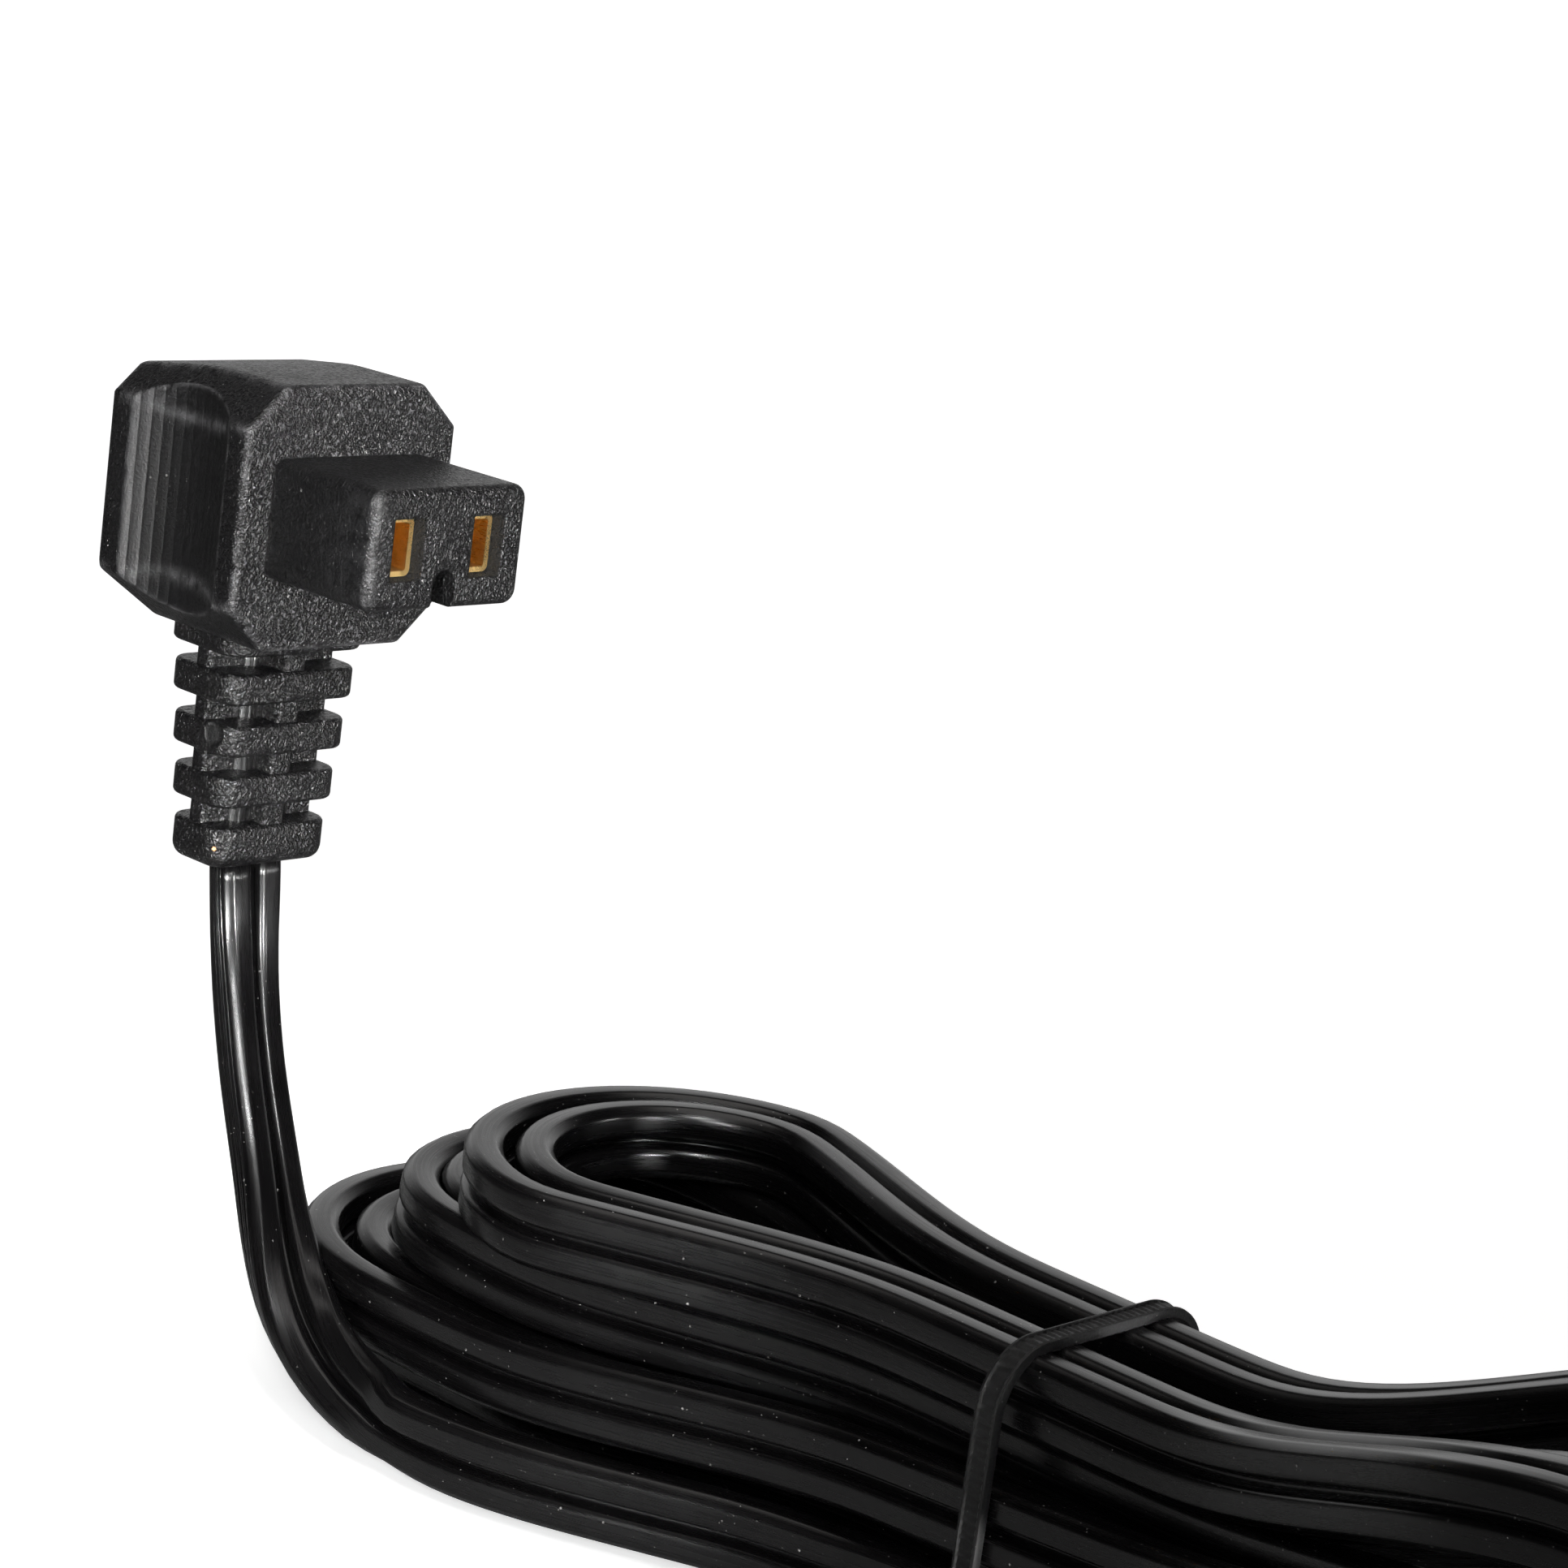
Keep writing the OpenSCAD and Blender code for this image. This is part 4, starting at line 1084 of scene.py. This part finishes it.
# ---------------------------------------------------------------- cable tie
@dataclass
class HankTie:
    """A nylon tie drawn round the hank's waist, its head on the far side."""

    cord: TwinCord
    strap_w: float = 2.3
    strap_t: float = 1.0
    play: float = 0.15
    corner: float = 4.5
    tooth: float = 0.75
    tooth_deep: float = 0.1
    steps: int = 560
    head_size: Triple = (3.4, 4.6, 4.6)
    head_drop: float = 4.0
    end_size: Tuple[float, float] = (1.0, 6.5)
    end_out: float = 2.0

    def strap(self) -> Shape:
        """The strap: a small rounded section carried round a rounded rectangle.

        The outer face is cut into low teeth across the strap: its height falls
        by a tenth of a millimetre with the cosine of the way along.
        """
        c = self.cord
        w = self.hank_width() + 2 * self.play
        h = (c.layers - 1) * c.layer_step + c.width + 2 * self.play
        ring = closed(rounded_ring(w, h, self.corner, 24)[0])
        along = way_along(ring)
        s = np.linspace(0, along[-1], self.steps, endpoint=False)
        line = np.stack([np.interp(s, along, ring[:, k]) for k in range(2)], -1)
        tangent = unit(np.roll(line, -1, 0) - np.roll(line, 1, 0))
        out = np.stack([tangent[:, 1], -tangent[:, 0]], -1)

        half, top = self.strap_w / 2, self.strap_t
        floor = top - 0.12
        right = [(half - 0.2, 0.0), (half, 0.2), (half, top - 0.3), (half - 0.12, top - 0.05), (half - 0.34, top)]
        left = [(-x, y) for x, y in right[::-1]]
        cut = [(half - 0.5, floor), (0.0, floor), (-half + 0.5, floor)]
        profile = np.array(left[-1:] + right + cut + left[:-1])
        toothed = profile[:, 1] == floor
        wave = 0.5 + 0.5 * np.cos(2 * math.pi * s / self.tooth)
        high = profile[None, :, 1] - self.tooth_deep * toothed[None] * wave[:, None]
        xz = line[:, None] + out[:, None] * high[..., None]
        y = np.broadcast_to(c.waist_y + profile[None, :, 0], high.shape)
        rings = np.stack([xz[..., 0] + c.hank_x, y, xz[..., 1] + self.middle_z()], -1)

        k = len(profile)
        first, last = np.arange(k), (self.steps - 1) * k + np.arange(k)
        seam = np.stack([last, np.roll(last, -1), np.roll(first, -1), first], -1)
        quads = np.concatenate([grid_quads(self.steps, k, True), seam])
        return rings.reshape(-1, 3), [quads[:, ::-1]]

    def hank_width(self) -> float:
        """The hank's width at its waist."""
        return 2 * (self.cord.hank_r - self.cord.waist_in) + self.cord.thick

    def middle_z(self) -> float:
        """The height of the hank's middle."""
        return self.cord.layer_z0 + (self.cord.layers - 1) * self.cord.layer_step / 2

    def head(self) -> Shape:
        """The head block with its rounded rims, and the cut end that stands out of it."""
        y, z = self.cord.waist_y, self.middle_z()
        x = self.cord.hank_x + self.hank_width() / 2 + self.play
        head = block(self.head_size, (x + self.head_size[0] / 2, y, z - self.head_drop), 0.5, 0.35)
        end = block((self.end_size[0], self.strap_w, self.end_size[1]), (x + self.end_out, y, z), 0.3, 0.15)
        return joined([head, end])

    def build(self, shelf: Shelf) -> Piece:
        """Makes and dresses the tie."""
        points, faces = joined([self.strap(), self.head()])
        return dress(make_piece("cable_tie_formed", points, faces, sharp=40), shelf.tie, Slot.TIE, "cable_tie")


# ---------------------------------------------------------------- connector
@dataclass
class Relief:
    """A ribbed strain relief: shrinking ribs on a thin web and two posts."""

    top: float = -12.6
    first: float = 14.6
    pitch: float = 4.63
    count: int = 4
    width: float = 14.5
    depth: float = 9.0
    fall: float = 0.57
    rib_h: float = 2.75
    last_h: float = 3.7
    web_t: float = 1.8
    web_in: float = 0.4
    post_t: float = 2.3
    post_in: float = 0.5
    lap: float = 0.4
    corner: float = 2.0
    rim: float = 0.42
    nose_in: float = 1.15
    nose_up: float = 1.3

    def parts(self) -> List[Shape]:
        """The ribs, webs and posts, hanging down from z = top."""
        made = []
        for i in range(self.count):
            last = i == self.count - 1
            h = self.last_h if last else self.rib_h
            z = -self.first - i * self.pitch - h / 2
            made.append(self.rib(self.width - i * self.fall, self.depth - i * self.fall, h, z, last))
            z0 = -self.first - i * self.pitch - self.lap
            z1 = self.top if i == 0 else -self.first - (i - 1) * self.pitch - self.rib_h + self.lap
            wide = self.width - (i - 0.5) * self.fall - 2 * self.web_in
            deep = self.depth - (i - 0.5) * self.fall - 2 * self.post_in
            for across, through, corner in ((wide, self.web_t, 0.35), (self.post_t, deep, 0.4)):
                made.append(block((across, through, z1 - z0), (0, 0, (z0 + z1) / 2), corner, 0.1))
        return made

    def rib(self, w: float, d: float, h: float, z: float, last: bool) -> Shape:
        """One rib: a plate with rounded corners and rims, the last one drawn in below."""
        if not last:
            return block((w, d, h), (0, 0, z), self.corner, self.rim, 8)
        a = np.linspace(0, math.pi / 2, 9)
        middle = [d * 0.25]
        inset = np.concatenate([middle, self.nose_in * (1 - np.sin(a)), self.rim * (1 - np.cos(a)), middle])
        climb = np.concatenate([[0.0], self.nose_up * (1 - np.cos(a)), h - self.rim + self.rim * np.sin(a), [h]])
        radius = np.maximum(self.corner - inset, 0.3)
        return loft(lifted(rounded_ring(w - 2 * inset, d - 2 * inset, radius, 8), climb - h / 2 + z))


@dataclass
class SocketBody:
    """The connector's overmould: a chamfered body with a fluted finger scoop on each side."""

    front: float = 13.0
    width: float = 23.1
    top: float = 11.2
    bottom: float = 11.6
    depth: float = 19.0
    cham_x: float = 4.0
    cham_z: float = 3.7
    edge: float = 0.8
    back_edge: float = 1.4
    side_edge: float = 0.2
    middle_edge: float = 0.05
    flat_edge: float = 0.3
    heel_edge: float = 0.5
    top_flat: float = 9.5
    top_fall: float = 1.3
    back_y: float = 3.9
    back_z: float = 4.4
    scoop_depth: float = 2.2
    scoop_chord: float = 13.1
    scoop_mid: float = 9.1
    flute_pitch: float = 1.12
    flute_first: float = 0.8
    relief_y: float = 21.6
    collar: Triple = (15.1, 9.5, 5.0)
    collar_z: float = -10.5
    grid: Tuple[int, int, int] = (130, 116, 110)
    relief: Relief = field(default_factory=Relief)

    def planes(self, p: Array) -> Dict[str, Array]:
        """The distance from each point to each plane of the body, outside positive."""
        x, y, z = np.abs(p[..., 0]), p[..., 1], p[..., 2]
        half = self.width / 2
        n = math.hypot(self.cham_x, self.cham_z)
        far = (y - self.front - self.top_flat) / (self.depth - self.top_flat)
        fall = self.top_fall * 0.5 * (far + np.sqrt(far * far + 0.01))
        m = math.hypot(self.back_y, self.back_z)
        back = self.front + self.depth
        return {
            "side": x - half,
            "top": z - self.top + fall,
            "bottom": -z - self.bottom,
            "upper": ((x - half) * self.cham_z + (z - self.top + self.cham_z) * self.cham_x) / n,
            "lower": ((x - half) * self.cham_z + (-z - self.bottom + self.cham_z) * self.cham_x) / n,
            "front": self.front - y,
            "back": y - back,
            "heel": ((y - back + self.back_y) * self.back_z - (z + self.bottom) * self.back_y) / m,
        }

    def distance(self, p: Array) -> Array:
        """The distance to the finished body, edges rounded and scoops cut."""
        d = self.planes(p)
        upper, lower = (fillet(d["side"], d[key], self.side_edge) for key in ("upper", "lower"))
        solid = fillet(upper, lower, self.middle_edge)
        edges = (
            ("top", self.flat_edge), ("bottom", self.flat_edge), ("back", self.back_edge),
            ("heel", self.heel_edge), ("front", self.edge),
        )
        for key, radius in edges:
            solid = fillet(solid, d[key], radius)
        return np.maximum(solid, -self.scoop(p))

    def scoop(self, p: Array) -> Array:
        """The distance to the scoops' upright cylinders."""
        dx, dy, radius = self.about_scoop(p)
        return np.hypot(dx, dy) - radius

    def about_scoop(self, p: Array) -> Tuple[Array, Array, float]:
        """Each point's place from the axis of its side's scoop, and the scoop's radius."""
        c2, dep = self.scoop_chord / 2, self.scoop_depth
        radius = (c2 * c2 + dep * dep) / (2 * dep)
        dx = self.width / 2 + radius - dep - np.abs(p[..., 0])
        return dx, p[..., 1] - (self.front + self.scoop_mid), radius

    def flute_count(self, p: Array) -> Array:
        """How many flutes lie between the scoop's back rim and each point, along the wall."""
        dx, dy, radius = self.about_scoop(p)
        rim = math.asin(self.scoop_chord / 2 / radius)
        return ((rim - np.arctan2(dy, np.maximum(dx, 1e-6))) * radius - self.flute_first) / self.flute_pitch

    def gridded_box(self) -> Tuple[Array, Array]:
        """A cube from -1 to 1 with a grid of squares on each side, its seams joined.

        Returns:
            The points, and the faces as four point numbers each.
        """
        points, quads, start = [], [], 0
        for axis in range(3):
            u_axis, v_axis = (axis + 1) % 3, (axis + 2) % 3
            nu, nv = self.grid[u_axis], self.grid[v_axis]
            u, v = np.meshgrid(np.linspace(-1, 1, nu + 1), np.linspace(-1, 1, nv + 1), indexing="ij")
            face = grid_quads(nu + 1, nv + 1, False)
            for sign in (-1, 1):
                q = np.zeros(u.shape + (3,))
                q[..., axis], q[..., u_axis], q[..., v_axis] = sign, u, v
                points.append(q.reshape(-1, 3))
                quads.append((face if sign < 0 else face[:, ::-1]) + start)
                start += u.size
        q = np.concatenate(points)
        keys = np.round(q * 1e6).astype(np.int64)
        _, keep, back = np.unique(keys, axis=0, return_index=True, return_inverse=True)
        return q[keep], back.ravel()[np.concatenate(quads)]

    def skin(self) -> Shape:
        """The body's skin: each point of a gridded box drawn along its ray from the middle to the surface."""
        centre = np.array([0.0, self.front + self.depth / 2, (self.top - self.bottom) / 2])
        half = np.array([self.width / 2, self.depth / 2, (self.top + self.bottom) / 2])
        q, faces = self.gridded_box()
        ray = q * half
        low, high = np.full(len(q), 0.4), np.full(len(q), 1.02)
        for _ in range(26):
            mid = (low + high) / 2
            inside = self.distance(centre + ray * mid[:, None]) < 0
            low, high = np.where(inside, mid, low), np.where(inside, high, mid)
        return centre + ray * low[:, None], [faces]

    def masks(self, p: Array) -> Dict[str, Array]:
        """The masks of the skin's points: coarse grain, worn edge (also a painted highlight), sleek lip and flute
        number.

        An edge is where two planes are about as near; coarse rises towards the front;
        sleek is the scoop's rim.
        """
        d = self.planes(p)
        stack = np.sort(np.stack(list(d.values())), axis=0)
        edge = 1 - np.clip((stack[-1] - stack[-2]) / 0.9, 0, 1)
        coarse = 0.55 + 0.45 * (1 - ease((-d["front"] - 0.25) / 0.9))
        sleek = 1 - ease((np.abs(self.scoop(p)) - 0.02) / 0.1)
        wall = np.maximum.reduce([d["side"], d["upper"], d["lower"]])
        sharp_lip = 1 - np.clip(np.abs(wall) / 0.25, 0, 1)
        # the edge mask is wear and painted highlight together: the body's edges and the scoop's lip are lightened
        edge = np.maximum(edge**2 * 0.8, sleek * sharp_lip * 0.6)
        return {"coarse": coarse, "edge": edge, "sleek": sleek, "flute": self.flute_count(p)}

    def build(self, shelf: Shelf) -> Piece:
        """Makes and dresses the overmould: body, collar and ribbed relief."""
        p, faces = self.skin()
        collar = block(self.collar, (0, 0, self.collar_z), 2.0, 0.4)
        rest, more = joined([collar, *self.relief.parts()])
        points, faces = joined([(p, faces), (rest + [0, self.relief_y, 0], more)])
        fill = {"coarse": 0.85}
        masks = {
            name: np.concatenate([value, np.full(len(rest), fill.get(name, 0.0))])
            for name, value in self.masks(p).items()
        }
        piece = make_piece("connector_overmould_formed", points, faces, masks, sharp=48)
        return dress(piece, shelf.overmould, Slot.OVERMOULD, "connector_overmould")


def carve(piece: Piece, cutters: Sequence[Piece], sharp: float) -> None:
    """Takes cutters out of a piece and keeps the result as its mesh.

    Args:
        piece: the piece.
        cutters: closed pieces, removed afterwards.
        sharp: the angle in degrees past which an edge stays hard.
    """
    for cutter in cutters:
        step = piece.modifiers.new("cut", "BOOLEAN")
        step.operation, step.solver, step.object = "DIFFERENCE", "EXACT", cutter
    bpy.context.view_layer.update()
    done = bpy.data.meshes.new_from_object(piece.evaluated_get(bpy.context.evaluated_depsgraph_get()))
    piece.modifiers.clear()
    old, piece.data = piece.data, done
    for mesh in (old, *(cutter.data for cutter in cutters)):
        bpy.data.meshes.remove(mesh)
    smooth(done)
    done.set_sharp_from_angle(angle=math.radians(sharp))
    done.name = piece.name


@dataclass
class SocketNose:
    """The nose with its two slots and the keyway under them, all rims eased."""

    length: float = 13.0
    width: float = 16.9
    height: float = 10.3
    edge: float = 1.3
    lip: float = 0.8
    pitch: float = 8.7
    slot_w: float = 3.4
    slot_h: float = 5.2
    slot_depth: float = 11.0
    key_w: float = 2.5
    key_h: float = 3.3
    key_len: float = 11.0
    key_below: float = 1.5
    ease_r: float = 0.16

    @staticmethod
    def lay_back(rings: Array) -> Array:
        """Turns rings drawn in X, Y and a height into X, Z and a depth along Y."""
        return np.stack([rings[..., 0], rings[..., 2], rings[..., 1]], -1)

    def shape(self) -> Shape:
        """The nose: a rounded rectangle pushed back, its front lip a quarter circle."""
        a = np.linspace(0, math.pi / 2, 9)
        inset = np.concatenate([[2.2, self.lip + 0.12], self.lip * (1 - np.sin(a)), [0.0, 0.0, 0.0]])
        back = [self.lip + 0.1, self.length * 0.6, self.length + 0.6]
        depth = np.concatenate([[0.0, 0.0], self.lip * (1 - np.cos(a)), back])
        radius = np.maximum(self.edge - inset * 0.8, 0.12)
        rings = rounded_ring(self.width - 2 * inset, self.height - 2 * inset, radius, 8)
        return loft(self.lay_back(lifted(rings, depth)), True)

    def flare(self, far: float) -> Tuple[Array, Array]:
        """How much wider a cut is at each depth: it opens towards the mouth by a quarter circle."""
        a = np.linspace(0, math.pi / 2, 5)
        wide = np.concatenate([[self.ease_r], self.ease_r * (1 - np.sin(a)), [0.0]])
        deep = np.concatenate([[-1.0], self.ease_r * (1 - np.cos(a)), [far]])
        return wide, deep

    def slot(self, side: int) -> Shape:
        """The cutter of one slot."""
        wide, deep = self.flare(self.slot_depth)
        rings = rounded_ring(self.slot_w + 2 * wide, self.slot_h + 2 * wide, np.full(len(wide), 0.14), 4)
        return loft(self.lay_back(lifted(rings + [side * self.pitch / 2, 0], deep)), True)

    def key(self) -> Shape:
        """The cutter of the keyway: an arch open at the bottom."""
        wide, deep = self.flare(self.key_len)
        t = np.linspace(0, math.pi, 17)
        centre_z, foot_z = -self.height / 2 + self.key_h - self.key_w / 2, -self.height / 2 - self.key_below
        rings = []
        for extra, y in zip(wide, deep):
            radius = self.key_w / 2 + extra
            arch = np.stack([radius * np.cos(t), np.full(len(t), y), centre_z + radius * np.sin(t)], -1)
            rings.append(np.concatenate([arch, [[-radius, y, foot_z], [radius, y, foot_z]]]))
        return loft(np.array(rings), True)

    def masks(self, at: Array) -> Dict[str, Array]:
        """The masks of the nose's points: coarse at the front, a painted highlight along the front-left lip, painted
        shade deep in the slots.
        """
        x, y, z = at.T
        # painted highlight: through the edge mask only the front-left lip is lightened, where the lamps' glint falls
        lip = np.clip(1 - np.hypot(x + self.width / 2, y) / 1.1, 0, 1)
        # painted shade: the points inside the slots are marked to be coloured near black
        across = np.abs(np.abs(x) - self.pitch / 2) < self.slot_w / 2 + 0.1
        inside = across & (np.abs(z) < self.slot_h / 2 + 0.1) & (y > 0.1)
        return {"coarse": 0.35 + 0.45 * (1 - ease((y - 0.2) / 1.0)), "edge": lip, "deep": inside}

    def build(self, shelf: Shelf) -> Piece:
        """Makes and dresses the nose."""
        piece = make_piece("contact_carrier_formed", *self.shape())
        carve(piece, [make_piece("cut", *made) for made in (self.slot(-1), self.slot(1), self.key())], 32)
        at = np.zeros(len(piece.data.vertices) * 3)
        piece.data.vertices.foreach_get("co", at)
        for name, values in self.masks(at.reshape(-1, 3) / MM).items():
            set_mask(piece.data, name, values)
        return dress(piece, shelf.carrier, Slot.CARRIER, "contact_carrier")


@dataclass
class Connector:
    """The connector: overmould, slotted carrier, contacts and the wires in it."""

    body: SocketBody = field(default_factory=SocketBody)
    end_z: Tuple[float, float] = (-12.8, -32.15)

    def build(self, shelf: Shelf, cord: TwinCord) -> None:
        """Makes the overmould, the nose and the cord's end, and refinishes what stays."""
        self.body.build(shelf)
        SocketNose().build(shelf)
        top, bottom = ((0, self.body.relief_y, z) for z in self.end_z)
        end = cord.inside_end("socket_cord_end_formed", top, bottom)
        dress(end, shelf.jacket, Slot.CORD, "socket_cord_end")
        for side in ("line", "neutral"):
            refinish(f"contact_{side}", shelf.brass)
            refinish(f"socket_strands_{side}", shelf.copper)


# ---------------------------------------------------------------- plug
@dataclass
class Plug:
    """The two-pin plug at the cord's far end."""

    x: float = 4.0
    y: float = -290.0
    z: float = -68.0
    end_y: Tuple[float, float] = (49.0, 26.0)

    def build(self, shelf: Shelf, cord: TwinCord) -> List[Piece]:
        """Makes the cord's end in the plug, and refinishes what stays."""
        outer, inner = ((self.x, self.y + y, self.z) for y in self.end_y)
        end = cord.inside_end("plug_cord_end_formed", outer, inner)
        dress(end, shelf.jacket, Slot.CORD, "plug_cord_end")
        refinish("plug_overmould", shelf.overmould)
        refinish("plug_bridge", shelf.bridge)
        for side in ("line", "neutral"):
            refinish(f"plug_blade_{side}", shelf.nickel)
            refinish(f"plug_strands_{side}", shelf.copper)
        return [end]


def main() -> None:
    """Builds the studio, the cord and everything on it, and reports each piece."""
    logging.basicConfig(level=logging.INFO, format="%(name)s %(message)s")
    Studio().build()
    twin = TwinCord()
    shelf = Shelf(ridge_at=twin.ridge_at())
    cord, path = twin.build()
    dress(cord, shelf.jacket, Slot.CORD, "cord_lead", "cord_hank", "cord_tail")
    tie = HankTie(twin).build(shelf)
    Connector().build(shelf, twin)
    made = Plug().build(shelf, twin)
    LOG.info("cord length %.3f m", way_along(path)[-1])


if __name__ == "__main__":
    main()
